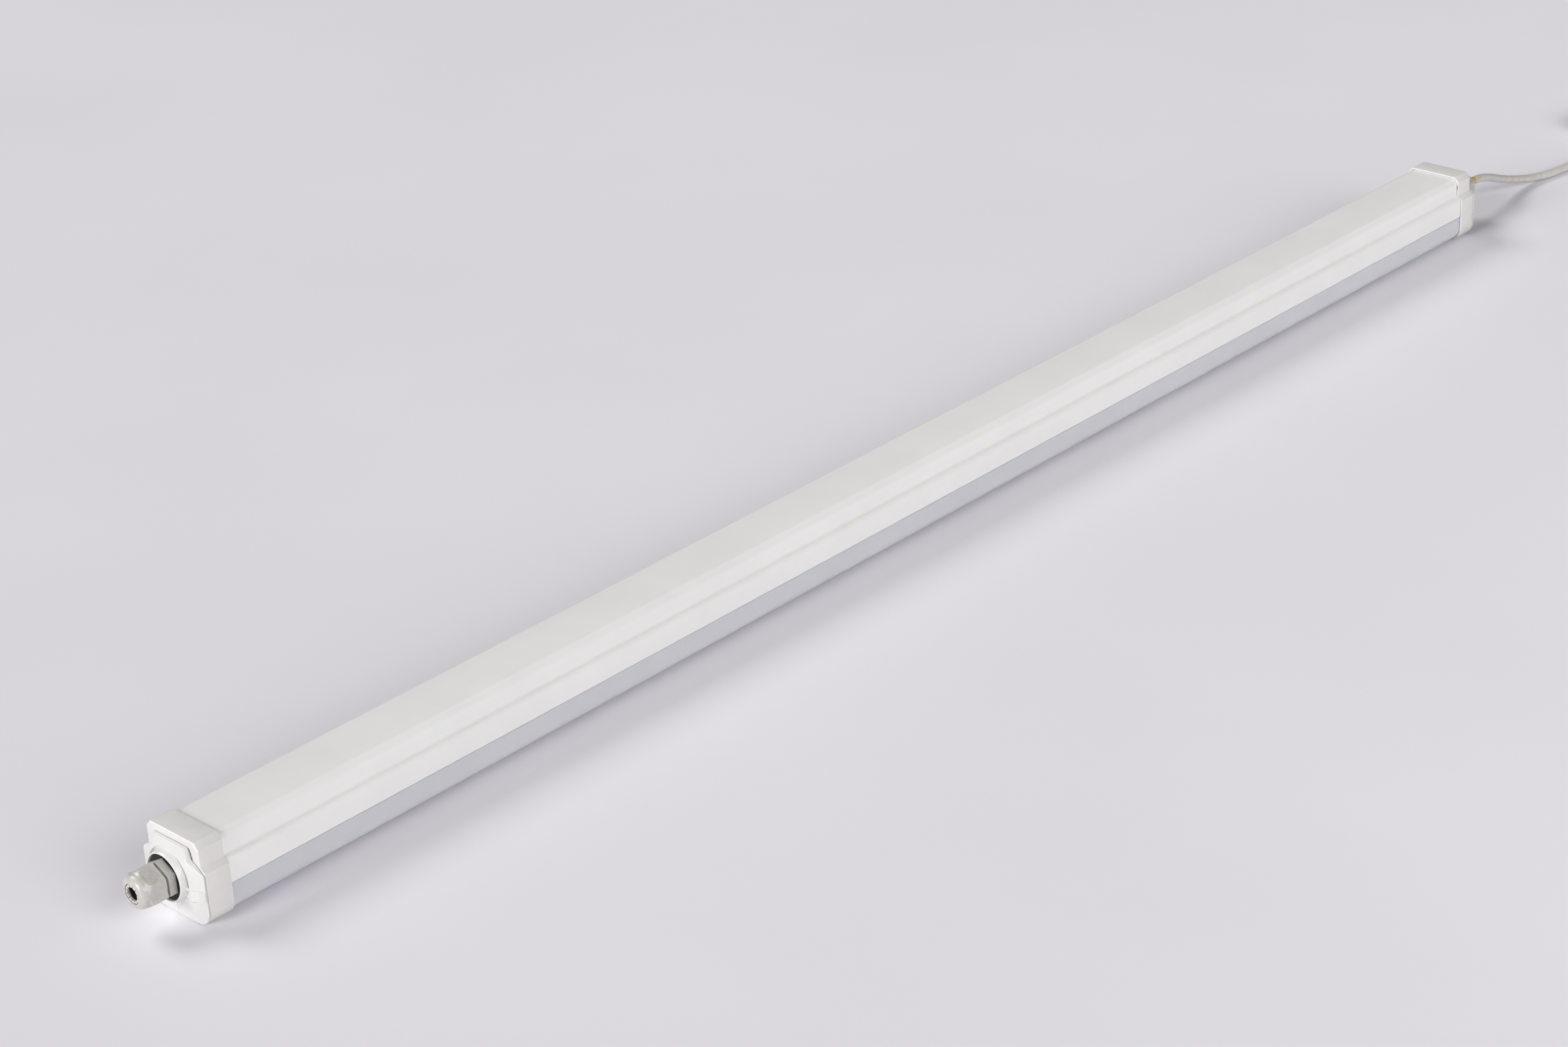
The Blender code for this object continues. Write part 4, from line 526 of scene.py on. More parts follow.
# %% Cord and its cores
CORE_RADIUS = 1.2 * MM
TIP_RADIUS = 0.7 * MM
TIP_SHARE = 0.74
CORE_ROUTES = {
    "live": ((1.1274, 0.0064, 0.0125), (1.1273, 0.0090, 0.0125), (1.1262, 0.0180, 0.0102),
             (1.1244, 0.0270, 0.0046), (1.1218, 0.0362, 0.0012)),
    "neutral": ((1.1292, 0.0064, 0.0099), (1.1292, 0.0090, 0.0098), (1.1290, 0.0180, 0.0070),
                (1.1284, 0.0280, 0.0024), (1.1278, 0.0392, 0.0012)),
    "earth": ((1.1310, 0.0064, 0.0125), (1.1311, 0.0090, 0.0125), (1.1314, 0.0180, 0.0098),
              (1.1316, 0.0275, 0.0040), (1.1314, 0.0380, 0.0012)),
}
CORE_COLOURS = {"live": "brown", "neutral": "blue", "earth": "earth"}
CORE_STEPS = 6

cord = tube("supply_cord", cord_path, CORD_RADIUS, cord_finish, sides=24)
mark_distance(cord, cord_path)
stand_for(cord, "cord_white", "cord_free", "cord_coil", "cord_end")
cores = []
for kind, route in CORE_ROUTES.items():
    line = smooth_route(np.array(route), CORE_STEPS)
    split = round(len(line) * TIP_SHARE)
    colour = CORE_COLOURS[kind]
    jacket = tube(f"cord_core_jacket_{kind}", line[:split], CORE_RADIUS, CORE_FINISHES[colour], sides=16)
    stand_for(jacket, f"wire_{colour}", f"cord_core_{kind}")
    strands = tube(f"cord_core_strands_{kind}", line[split - 1:], TIP_RADIUS, copper_finish, sides=12)
    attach(strands, BODY_OF[f"cord_core_{kind}"])
    cores += [jacket, strands]
print("cord laid out, with", len(cores), "pieces at its end")

# %% [markdown]
# ## The long tube
# The housing and the diffuser are extruded, so each is a profile carried straight along X. The
# profile is an outer line and an inner line, one wall apart, in millimetres: Y to the side and Z
# up. Lines like these need three helpers: an arc, a mirror image, and a line beside a line.

# %% Helpers for profiles
ARC_STEPS = 14


def arc(centre, radius, start, end, steps=ARC_STEPS):
    """Points at even angles, in degrees, round a centre."""
    angle = np.radians(np.linspace(start, end, steps + 1))
    return np.stack([centre[0] + radius * np.cos(angle), centre[1] + radius * np.sin(angle)], axis=1)


def mirrored(half):
    """A line and its mirror image, joined, from the right side over to the left: one whole outline."""
    return np.vstack([half, half[::-1] * (-1.0, 1.0)])


def shifted(line, distance):
    """Each point moved to the left of the line's direction by a distance."""
    ahead = np.gradient(line, axis=0)
    ahead /= np.linalg.norm(ahead, axis=1, keepdims=True)
    return line + distance * np.stack([-ahead[:, 1], ahead[:, 0]], axis=1)


print("points in a quarter circle:", len(arc((0.0, 0.0), 1.0, 0.0, 90.0)))

# %% [markdown]
# The housing has a flat top, a rounded shoulder, and half way down a ledge where a small hollow
# curve meets a larger round one. The diffuser's underside is a very shallow bow between two round
# corners. Where two arcs meet, the angle is worked out, so that the line has no kink there.

# %% Profiles of the tube
PROUD = 1.5
SECTION_TOP = 62.5
UPPER_HALF = 27.0
LOWER_HALF = 31.5
STEP_TOP = 44.6
STEP_BOTTOM = 41.0
BOTTOM_CORNER = 13.0
BOW_RADIUS = 170.0
BOW_FLAT = 8.0
HOUSING_EDGE = 25.2
SEAM = 0.3
WALL = 1.8
SHOULDER = 6.0
LEDGE_TOP = 45.9
LEDGE_INNER = 2.0
LEDGE_OUTER = 4.2
FOOT_RISE = 1.0
BOW_STEPS = 4


def bottom_half(half_width, lift, corner):
    """From the flat middle of the underside, along a shallow bow and round the lower corner."""
    across = half_width - corner
    drop = math.sqrt((BOW_RADIUS - corner) ** 2 - (across - BOW_FLAT) ** 2)
    meet = math.degrees(math.atan2(across - BOW_FLAT, drop))
    bow = arc((BOW_FLAT, lift + BOW_RADIUS), BOW_RADIUS, -90.0, meet - 90.0, BOW_STEPS)
    return np.vstack([bow[:-1], arc((across, lift + BOW_RADIUS - drop), corner, meet - 90.0, 0.0)])


def housing_half():
    """Right half of the housing's outer line, from its foot to the top of the shoulder."""
    upper, lower, top = UPPER_HALF - PROUD, LOWER_HALF - PROUD, SECTION_TOP - PROUD
    run = upper + LEDGE_INNER - lower + LEDGE_OUTER
    rise = math.sqrt((LEDGE_INNER + LEDGE_OUTER) ** 2 - run ** 2)
    meet = math.degrees(math.atan2(rise, run))
    return np.vstack([
        [(lower, HOUSING_EDGE + SEAM / 2), (lower, HOUSING_EDGE + FOOT_RISE)],
        arc((lower - LEDGE_OUTER, LEDGE_TOP - rise), LEDGE_OUTER, 0.0, meet),
        arc((upper + LEDGE_INNER, LEDGE_TOP), LEDGE_INNER, meet + 180.0, 180.0)[1:],
        arc((upper - SHOULDER, top - SHOULDER), SHOULDER, 0.0, 90.0),
    ])


housing_line = mirrored(housing_half())
side_foot = [(LOWER_HALF - PROUD, HOUSING_EDGE - SEAM / 2)]
diffuser_half = np.vstack([bottom_half(LOWER_HALF - PROUD, PROUD, BOTTOM_CORNER - PROUD), side_foot])
diffuser_line = np.vstack([(diffuser_half * (-1.0, 1.0))[::-1], diffuser_half])
print("points in the housing's line:", len(housing_line), "and the diffuser's:", len(diffuser_line))

# %% [markdown]
# Each profile becomes a wall: its outer line and its inner line make one loop, which is set at both
# ends of the tube. The two end caps join the same two lines. An extrusion is straight, so two rows
# are enough, and all the detail is in the profile.

# %% Housing and diffuser
TUBE_REACH = 741.7


def along_x(name, outer, inner, material):
    """A wall between two open lines, extruded along X and closed at its feet and ends."""
    loop = np.vstack([outer, inner[::-1]])
    ends = np.array([-TUBE_REACH, TUBE_REACH])
    skin = np.empty((2, len(loop), 3))
    skin[..., 0] = ends[:, None]
    skin[..., 1:] = loop
    caps = []
    for row in skin:
        cap = np.stack([row[:len(outer)], row[len(outer):][::-1]])
        caps.append((cap * MM, False, False))
    return surface(name, [(skin * MM, False, True)] + caps, material)


housing = along_x("housing_shell", housing_line, shifted(housing_line, WALL), housing_finish)
stand_for(housing, "housing_white", "housing")
diffuser = along_x("diffuser_shell", diffuser_line, shifted(diffuser_line, WALL), diffuser_finish)
stand_for(diffuser, "diffuser_opal", "diffuser")

# %% [markdown]
# ## Working round the gland axis
# Each end piece is seen best from its gland, so its points are found in polar form: an angle
# round the gland axis, a radius, and a distance out from the collar's front face. An outline
# gives, at each angle, how far it reaches. A piece is then a stack of rows, from the inside of
# its wall, over its face and edge, and back along the inside.

# %% Outlines of the collar, the cover and the tube
GLAND_HEIGHT = 33.0
STEP_LIFT = 0.4
FACET_ACROSS = 4.0
FACET_DOWN = 4.6
COLLAR_CORNER = 1.2
SHOULDER_CORNER = 0.8
COVER_CORNER = 1.6
CORNER_STEPS = 7
NECK_TOP = (17.3, 57.6)
NECK_FOOT = (19.0, 50.1)
FLARE_BEND = (19.5, 49.2)
FLARE = (20.4, 48.5)


def rounded(corners, radius):
    """Each corner replaced by a bend that starts and ends where an arc of the radius would touch."""
    corners = np.array(corners, float)
    back = corners[:-2] - corners[1:-1]
    ahead = corners[2:] - corners[1:-1]
    back /= np.linalg.norm(back, axis=1, keepdims=True)
    ahead /= np.linalg.norm(ahead, axis=1, keepdims=True)
    half_angle = np.arccos(np.clip((back * ahead).sum(axis=1), -1.0, 1.0)) / 2
    tangent = radius / np.tan(half_angle)
    share = np.linspace(0.0, 1.0, CORNER_STEPS)[:, None, None]
    start, end = back * tangent[:, None], ahead * tangent[:, None]
    bend = corners[1:-1] + start * (1.0 - share) ** 2 + end * share ** 2
    return np.vstack([corners[:1], bend.transpose(1, 0, 2).reshape(-1, 2), corners[-1:]])


foot = bottom_half(LOWER_HALF, 0.0, BOTTOM_CORNER)
collar_half = rounded([
    foot[-1], (LOWER_HALF, STEP_BOTTOM + STEP_LIFT), (UPPER_HALF, STEP_TOP + STEP_LIFT),
    (UPPER_HALF, SECTION_TOP - FACET_DOWN),
    (UPPER_HALF - FACET_ACROSS, SECTION_TOP), (0.0, SECTION_TOP),
], COLLAR_CORNER)
collar_outline = mirrored(np.vstack([foot, collar_half[1:]]))
cover_half = rounded([foot[-1], (LOWER_HALF, STEP_BOTTOM), (UPPER_HALF, STEP_TOP), FLARE], SHOULDER_CORNER)
neck_half = rounded([FLARE_BEND, NECK_FOOT, NECK_TOP, (0.0, NECK_TOP[1])], COVER_CORNER)
cover_outline = mirrored(np.vstack([foot, cover_half[1:], neck_half]))
tube_outline = mirrored(np.vstack([diffuser_half, housing_half()]))
print("points in the collar's outline:", len(collar_outline), "and the cover's:", len(cover_outline))

# %% [markdown]
# Three questions are asked of an outline. How far does it reach at an angle? A ray from the gland
# axis meets one of its sides there. How far is a point from it? The nearest side tells. And where
# is a line that runs at an even depth inside it, such as a groove? Halving a span finds it.

# %% Reach and depth of an outline
NEAR_AXIS = 4.0
HALVINGS = 20


def bearing(points):
    """Angle round the gland axis, from -pi to pi."""
    return np.arctan2(points[..., 1] - GLAND_HEIGHT, points[..., 0])


def reach(outline, angles):
    """How far a closed outline lies from the gland axis at each angle: the ray meets one side of it."""
    order = np.argsort(bearing(outline))
    ring = outline[order]
    ring = np.vstack([ring[-1:], ring, ring[:1]])
    turns = bearing(ring)
    turns[0] -= 2 * math.pi
    turns[-1] += 2 * math.pi
    place = np.clip(np.searchsorted(turns, angles, side="right") - 1, 0, len(ring) - 2)
    start = ring[place] - (0.0, GLAND_HEIGHT)
    step = ring[place + 1] - ring[place]
    cosine, sine = np.cos(angles), np.sin(angles)
    return (start[:, 0] * step[:, 1] - start[:, 1] * step[:, 0]) / (cosine * step[:, 1] - sine * step[:, 0])


def distance_to(outline, across, up):
    """Shortest distance from points to the sides of a closed outline."""
    ends = np.roll(outline, -1, axis=0)
    step = ends - outline
    keep = (step ** 2).sum(axis=1) > 1e-12
    start, step = outline[keep], step[keep]
    flat = np.stack([across.ravel(), up.ravel()], axis=1)
    best = np.full(len(flat), np.inf)
    for origin, side in zip(start, step):
        share = np.clip(((flat - origin) @ side) / (side @ side), 0.0, 1.0)
        best = np.minimum(best, np.linalg.norm(flat - origin - share[:, None] * side, axis=1))
    return best.reshape(across.shape)


def inset_reach(outline, angles, depth):
    """The reach at which a ray is depth inside the outline, found by halving the span again and again."""
    high = reach(outline, angles)
    low = np.full_like(high, NEAR_AXIS)
    for _ in range(HALVINGS):
        middle = (low + high) / 2
        across, up = middle * np.cos(angles), GLAND_HEIGHT + middle * np.sin(angles)
        inside = distance_to(outline, across, up) > depth
        low, high = np.where(inside, middle, low), np.where(inside, high, middle)
    return (low + high) / 2


print("the collar's reach at its side in mm:", round(float(reach(collar_outline, np.zeros(1))[0]), 2))

# %% [markdown]
# The angles are mostly even, with more of them where the moulding is fine and one at each corner of
# an outline, so that no corner is cut off. at_end turns rows into points of the left or the right
# end. The soft functions join two heights with a rounded blend, as a mould maker's fillets do.

# %% Angles, rows and soft blends
COLLAR_FACE = 748.0
ENDS = ("left", "right")


def angles_with(outlines, count, extra):
    """Even angles, those of the outlines' own points, and extra ones on both sides for fine detail."""
    even = np.linspace(-math.pi, math.pi, count, endpoint=False)
    mirror = (2 * math.pi - extra) % (2 * math.pi) - math.pi
    corners = [bearing(line) for line in outlines]
    return np.unique(np.round(np.concatenate([even, extra, mirror] + corners), 5))


def at_end(radius, angles, out, end):
    """Polar points in millimetres as points in metres; the right end is the left one turned round."""
    radius, angles, out = np.broadcast_arrays(radius, angles, out)
    side = -1.0 if end == "left" else 1.0
    return np.stack([
        side * (COLLAR_FACE + out), -side * radius * np.cos(angles), GLAND_HEIGHT + radius * np.sin(angles),
    ], axis=-1) * MM


def stacked(rows, angles):
    """Two full grids from rows of a radius and a distance out, each one number or one for each angle."""
    return [np.stack([np.broadcast_to(value, angles.shape) for value in part]) for part in zip(*rows)]


def end_piece(name, end, rows, angles, material, slot, node):
    """One closed piece at an end: its rows run round the section of its wall, its angles round the axis."""
    radii, outs = stacked(rows, angles)
    piece = surface(f"{name}_{end}", [(at_end(radii, angles, outs, end), True, True)], material)
    stand_for(piece, slot, f"{node}_{end}")


def soft_step(value, start, end):
    """Smooth rise from 0 to 1 between two values: three squares less two cubes."""
    share = np.clip((value - start) / (end - start), 0.0, 1.0)
    return share ** 2 * (3.0 - 2.0 * share)


def soft_least(first, second, blend):
    """The lesser of two heights, with a rounded valley where they cross."""
    share = np.clip(0.5 + 0.5 * (second - first) / blend, 0.0, 1.0)
    return second + (first - second) * share - blend * share * (1.0 - share)


def soft_most(first, second, blend):
    """The greater of two heights, with a fillet where they cross."""
    return -soft_least(-first, -second, blend)


print("a soft step at a quarter and a half:", soft_step(np.array([0.25, 0.5]), 0.0, 1.0))

# %% [markdown]
# ## The collars
# A collar is a short sleeve that stands 1.5 mm proud of the tube, with facets at its top corners.
# Its front face carries a groove for the gasket, and beside the cover's neck two wedge shaped
# pockets go deep into it and look almost black. The mouth at its rear, which takes the tube, has a
# small vent notch under each shoulder. The pockets are a depth taken off the front face, with
# short soft walls, so the angles are close together there.

# %% Pocket beside the neck
POCKET_DEPTH = 4.0
POCKET_UP = (48.6, 51.5, 54.6, 56.4, 57.3)
POCKET_EDGE = (20.5, 20.1, 19.5, 18.5, 17.3)
POCKET_WALL = 0.25
POCKET_CLEAR = (0.8, 0.4)
POCKET_FOOT_WALL = 0.2
POCKET_TOP_WALL = 0.3
POCKET_ANGLES = np.radians(np.linspace(37.0, 55.0, 150))


def pocket_depth(across, up):
    """Depth of the pocket: full between the neck's slanted side and a line that leans in to its top."""
    side = np.abs(across)
    neck = np.interp(up, (NECK_FOOT[1], NECK_TOP[1]), (NECK_FOOT[0], NECK_TOP[0]))
    inside = soft_step(np.interp(up, POCKET_UP, POCKET_EDGE) - side, 0.0, POCKET_WALL)
    inside *= soft_step(side, neck - POCKET_CLEAR[0], neck - POCKET_CLEAR[1])
    inside *= soft_step(up, POCKET_UP[0] - POCKET_FOOT_WALL, POCKET_UP[0] + POCKET_FOOT_WALL)
    return POCKET_DEPTH * inside * soft_step(POCKET_UP[-1] - up, 0.0, POCKET_TOP_WALL)


print("pocket in the middle in mm:", round(float(pocket_depth(np.array([19.0]), np.array([53.0]))[0]), 2))

# %% [markdown]
# The collar's rows start at its mouth, cross the groove and the face, turn over the rounded front
# edge, run back along the sleeve and return inside it. Each row is a radius and a distance out
# from the front face, at all the angles at once.

# %% Collar surface
COLLAR_LENGTH = 20.0
COLLAR_FRONT = 6.0
EDGE_ROUND = 1.0
REAR_ROUND = 0.4
SPIGOT_INSET = 4.0
GROOVE_INNER = 3.2
GROOVE_OUTER = 1.2
GROOVE_DEPTH = 2.0
FACE_ROWS = 60
VENT = (50.5, 55.0)
VENT_LENGTH = 4.0
VENT_DEPTH = 0.9
VENT_BREAK = 0.2
VENT_WALL = 0.3
COLLAR_ANGLES = angles_with((collar_outline, cover_outline), 420, POCKET_ANGLES)


def collar_rows(angles):
    """Radius and distance out of every row, from the mouth over the face and sleeve and back inside."""
    outer = reach(collar_outline, angles)
    mouth = inset_reach(cover_outline, angles, SPIGOT_INSET)
    groove_in = inset_reach(cover_outline, angles, GROOVE_INNER)
    groove_out = inset_reach(cover_outline, angles, GROOVE_OUTER)
    rows = [(mouth, 0.0), (groove_in, 0.0), (groove_in, -GROOVE_DEPTH)]
    rows += [(groove_out, -GROOVE_DEPTH), (groove_out, 0.0)]
    rim = outer - EDGE_ROUND
    for share in np.linspace(0.02, 1.0, FACE_ROWS):
        radius = groove_out + (np.maximum(rim, groove_out) - groove_out) * share
        across, up = radius * np.cos(angles), GLAND_HEIGHT + radius * np.sin(angles)
        rows.append((radius, -pocket_depth(across, up)))
    for turn in np.radians(np.linspace(15.0, 90.0, 6)):
        rows.append((rim + EDGE_ROUND * math.sin(turn), EDGE_ROUND * (math.cos(turn) - 1.0)))
    for turn in np.radians(np.linspace(0.0, 90.0, 7)):
        radius = outer - REAR_ROUND * (1.0 - math.cos(turn))
        rows.append((radius, REAR_ROUND * (1.0 - math.sin(turn)) - COLLAR_LENGTH))
    socket = reach(tube_outline, angles) + SEAM
    up = GLAND_HEIGHT + socket * np.sin(angles)
    notch = VENT_DEPTH * soft_step(up, VENT[0], VENT[0] + VENT_WALL)
    notch *= soft_step(VENT[1] - up, 0.0, VENT_WALL)
    return rows + [
        (socket + notch + VENT_BREAK, -COLLAR_LENGTH), (socket + notch, VENT_BREAK - COLLAR_LENGTH),
        (socket + notch, VENT_LENGTH - COLLAR_LENGTH), (socket, VENT_LENGTH + VENT_BREAK - COLLAR_LENGTH),
        (socket, -COLLAR_FRONT), (mouth, -COLLAR_FRONT),
    ]


collar = collar_rows(COLLAR_ANGLES)
for end in ENDS:
    end_piece("collar", end, collar, COLLAR_ANGLES, collar_finish, "end_white", "end_collar")

# %% [markdown]
# ## The covers
# The cover is the piece with the most moulding. Its face is a height field: each place on it has
# one height over the collar's front face. The plate is a low cone round the gland that ends, at the
# top, in the neck's own plane, and it rolls over at its edge. A shelf on each side is cut into it.

# %% Cover plate and side shelf
SIDE_OUT = 1.9
FACE_SLOPE = 0.40
LOWER_OUT = 1.5
LOWER_SLOPE = 0.22
LOWER_ENDS = (19.0, 24.0)
FACE_REACH = 31.5
PLATEAU_OUT = 6.4
PLATE_BLEND = 0.8
NECK_OUT = 3.6
NECK_SLOPE = 0.27
NECK_RISE = (46.5, 49.5)
NECK_BLEND = 0.5
ROLL = 0.6
SHELF_SIDE = (17.5, 29.5)
SHELF_TOP = (28.1, 29.5)
SHELF_FOOT = (17.7, 21.7)
SHELF_OUT = 2.1
SHELF_LUMP = 2.7
LUMP_ENDS = (25.5, 18.8)
SHELF_START = (14.5, 17.0)
SHELF_TOP_WALL = (-0.3, 1.3)
SHELF_FOOT_WALL = (-0.9, 0.7)
SHELF_ANGLES = np.radians(np.linspace(-42.0, 0.0, 150))


def plate_height(across, up):
    """A low cone round the gland that ends in the neck's own plane at the top, with a rolled edge."""
    inward = np.maximum(FACE_REACH - np.hypot(across, up - GLAND_HEIGHT), 0.0)
    upper = soft_least(SIDE_OUT + FACE_SLOPE * inward, np.full_like(inward, PLATEAU_OUT), PLATE_BLEND)
    upper = soft_least(upper, NECK_OUT + NECK_SLOPE * (NECK_TOP[1] - up), PLATE_BLEND)
    upper = soft_most(upper, NECK_OUT * soft_step(up, *NECK_RISE), NECK_BLEND)
    lower = LOWER_OUT + LOWER_SLOPE * inward
    face = lower + (upper - lower) * soft_step(up, *LOWER_ENDS)
    roll = np.clip(distance_to(cover_outline, across, up) / ROLL, 0.0, 1.0)
    return face - ROLL * (1.0 - np.sqrt(1.0 - (1.0 - roll) ** 2))


def shelf_height(across, height, up):
    """The side shelf: a step below the plateau that rises inwards into a rounded lump by the ring."""
    side = np.abs(across)
    shelf = SHELF_OUT + SHELF_LUMP * soft_step(-side, -LUMP_ENDS[0], -LUMP_ENDS[1])
    top, foot = np.interp(side, SHELF_SIDE, SHELF_TOP), np.interp(side, SHELF_SIDE, SHELF_FOOT)
    inside = soft_step(top - up, *SHELF_TOP_WALL) * soft_step(up - foot, *SHELF_FOOT_WALL)
    inside *= soft_step(side, *SHELF_START)
    return height + (shelf - height) * inside


print("plate over the gland in mm:", round(float(plate_height(np.zeros(1), np.array([55.0]))[0]), 2))

# %% [markdown]
# Round the gland stands a raised ring, and a valley runs beside it. The valley is deep at the
# sides, fades towards the top and ends low down in a small pit on each side. Under the ring two
# shallow dishes are scooped out of the plate: paraboloids, stretched outwards and downwards.

# %% Ring, valley and dishes of the cover
RING_BORE = 16.7
RING_LIP = 17.9
RING_RADII = (RING_BORE, 16.85, 17.1, 17.5, RING_LIP, 18.2, 18.45, 18.7, 19.0, 19.3, 20.0)
RING_OUTS = (10.1, 10.4, 10.5, 10.35, 9.7, 8.7, 7.4, 5.8, 3.4, 0.5, -8.0)
RING_BLEND = 0.7
VALLEY_MIDDLE = 19.5
VALLEY_HALF = 0.9
VALLEY_WALL = (0.35, 1.25)
VALLEY_DEPTH = 3.0
VALLEY_START = (-8.0, -4.0)
VALLEY_FADE = (15.0, 85.0)
VALLEY_FLOOR = 1.0
PIT = (19.4, 31.0)
PIT_FLAT = 0.4
PIT_RADIUS = 1.2
PIT_DEPTH = 4.4
DISH = (6.0, 8.5)
DISH_OUT = 0.5
DISH_CURVE = 8.0
DISH_STRETCH = (1.7, 2.0)
DISH_BLEND = 0.5


def valley_depth(across, up, radius):
    """The valley beside the ring: full at the sides, gone at the top, with a pit at its lower end."""
    rise = np.degrees(np.arctan2(up - GLAND_HEIGHT, np.abs(across)))
    strength = soft_step(rise, *VALLEY_START) * (1.0 - soft_step(rise, *VALLEY_FADE))
    offset = np.abs(radius - VALLEY_MIDDLE) / VALLEY_HALF
    groove = VALLEY_DEPTH * strength * (1.0 - soft_step(offset, *VALLEY_WALL))
    pit = np.hypot(np.abs(across) - PIT[0], up - PIT[1])
    return np.maximum(groove, PIT_DEPTH * (1.0 - soft_step(pit, PIT_FLAT, PIT_RADIUS)))


def dished(across, height, up):
    """The height, held under a paraboloid round the middle of each dish."""
    beside, over = np.abs(across) - DISH[0], up - DISH[1]
    beside = np.where(beside > 0.0, beside / DISH_STRETCH[0], beside)
    over = np.where(over > 0.0, over, over / DISH_STRETCH[1])
    spread = np.hypot(beside, over)
    return soft_least(height, DISH_OUT + spread ** 2 / (2.0 * DISH_CURVE), DISH_BLEND)


def cover_height(radius, angles):
    """Plate, less shelf, dishes and valley, and joined with the ring's own profile."""
    across, up = radius * np.cos(angles), GLAND_HEIGHT + radius * np.sin(angles)
    height = dished(across, shelf_height(across, plate_height(across, up), up), up)
    height = np.maximum(height - valley_depth(across, up, radius), VALLEY_FLOOR)
    return soft_most(height, np.interp(radius, RING_RADII, RING_OUTS), RING_BLEND)


print("ring's height in mm:", max(RING_OUTS))

# %% [markdown]
# The cover's rows start in the well that holds the gland, climb the ring, cross the plate to its
# edge and return behind it: over the back of the flange, round the spigot that plugs into the
# collar, and through the cavity behind the gland.

# %% Cover surface
WELL_OUT = 7.2
WELL_BREAK = 0.2
GLAND_HOLE = 10.2
CAVITY_OUT = 4.8
CAVITY_RADIUS = 16.6
PLATE_START = 21.6
PLATE_ROWS = 72
FLANGE_GAP = 0.3
SPIGOT_WALL = 1.6
SPIGOT_DEPTH = 5.0
COVER_ANGLES = angles_with((cover_outline,), 400, SHELF_ANGLES)


def cover_rows(angles):
    """All rows of the cover: well, ring, plate, rolled edge, flange back, spigot and cavity."""
    edge = reach(cover_outline, angles)
    rows = [(GLAND_HOLE, CAVITY_OUT), (GLAND_HOLE, WELL_OUT)]
    rows += [(RING_BORE - WELL_BREAK, WELL_OUT), (RING_BORE, WELL_OUT + WELL_BREAK)]
    ring = [np.linspace(RING_BORE, RING_LIP, 12), np.linspace(RING_LIP, PLATE_START, 20)[1:]]
    for radius in np.concatenate(ring):
        rows.append((radius, cover_height(np.full_like(angles, radius), angles)))
    for share in np.linspace(0.0, 1.0, PLATE_ROWS)[1:]:
        radius = PLATE_START + (edge - PLATE_START) * (1.0 - (1.0 - share) ** 1.5)
        rows.append((radius, cover_height(radius, angles)))
    spigot = inset_reach(cover_outline, angles, SPIGOT_INSET + FLANGE_GAP)
    inner = inset_reach(cover_outline, angles, SPIGOT_INSET + FLANGE_GAP + SPIGOT_WALL)
    return rows + [
        (edge, 2 * FLANGE_GAP), (edge - FLANGE_GAP, FLANGE_GAP), (spigot, FLANGE_GAP),
        (spigot, FLANGE_GAP - SPIGOT_DEPTH), (spigot - FLANGE_GAP, -SPIGOT_DEPTH), (inner, -SPIGOT_DEPTH),
        (inner, FLANGE_GAP), (CAVITY_RADIUS, FLANGE_GAP), (CAVITY_RADIUS, CAVITY_OUT),
    ]


cover = cover_rows(COVER_ANGLES)
for end in ENDS:
    end_piece("cover", end, cover, COVER_ANGLES, cover_finish, "end_white", "end_cover")

# %% [markdown]
# ## The cable glands
# A gland is worked out round its axis, so each piece is rows of a radius and a distance out. The
# body and the nut take their radius from six planes, joined by a power mean that rounds the
# corners a little. Every second flat of the nut carries fine ribs for grip: a wave across the flat.

# %% Hexagon and ribs
HEX_RADIUS = 14.5
HEX_ROUNDING = 110.0
RIB_COUNT = 13
RIB_PITCH = 1.0
RIB_DEPTH = 0.3
FLAT_HALF = math.pi / 6
APOTHEM = HEX_RADIUS * math.cos(FLAT_HALF)


def hexagon(angles):
    """Radius of a hexagon with a corner up: planes every 60 degrees, joined by a high power mean."""
    flats = np.radians(np.arange(6) * 60.0)
    planes = np.maximum(np.cos(angles[:, None] - flats[None]), 1e-6) ** HEX_ROUNDING
    return APOTHEM / planes.sum(axis=1) ** (1.0 / HEX_ROUNDING)


def ribs(angles):
    """Depth of the grip ribs on every second flat, as a rounded wave across the flat."""
    flat = np.radians(np.round((np.degrees(angles) - 120.0) / 120.0) * 120.0 + 120.0)
    turn = angles - flat
    inside = np.abs(turn) < FLAT_HALF
    across = APOTHEM * np.tan(np.where(inside, turn, 0.0))
    wave = 0.5 - 0.5 * np.cos(2.0 * math.pi * (across / RIB_PITCH + 0.5))
    return inside * (np.abs(across) < RIB_COUNT / 2 * RIB_PITCH) * RIB_DEPTH * wave ** 0.7


print("hexagon across flats in mm:", round(2 * APOTHEM, 1))

# %% [markdown]
# The nut's rows start at its thread, turn round its rear edge and run forward over the flats. A
# shoulder cuts the corners off, the glossy dome is a quarter circle, and a cone leads back inside.

# %% Gland nut
NUT_ANGLES = np.linspace(-math.pi, math.pi, 720, endpoint=False)
THREAD_RADIUS = 10.95
NUT_REAR = 16.9
NUT_FRONT = 36.5
NUT_BREAK = 0.4
NUT_BEVEL = ((0.5, 0.0), (0.15, 0.12), (0.0, 0.5))
FLAT_OUTS = np.concatenate([[17.9, 18.3, 18.6], np.linspace(19.0, 31.0, 26)])
RIB_START = (18.0, 18.6)
RIB_END = 29.6
SHOULDER_OUT = (16.0, 27.4, 29.0, 30.2, 31.5)
SHOULDER_RADIUS = (18.0, 15.1, 14.1, 13.1, 12.4)
SHOULDER_BLEND = 0.25
DOME_ROUND = 5.0
DOME_RADIUS = 12.4
MOUTH_RADIUS = 7.3
MOUTH_BREAK = 0.25
CONE = ((MOUTH_RADIUS, 35.4), (9.6, 27.0), (9.6, 25.1))


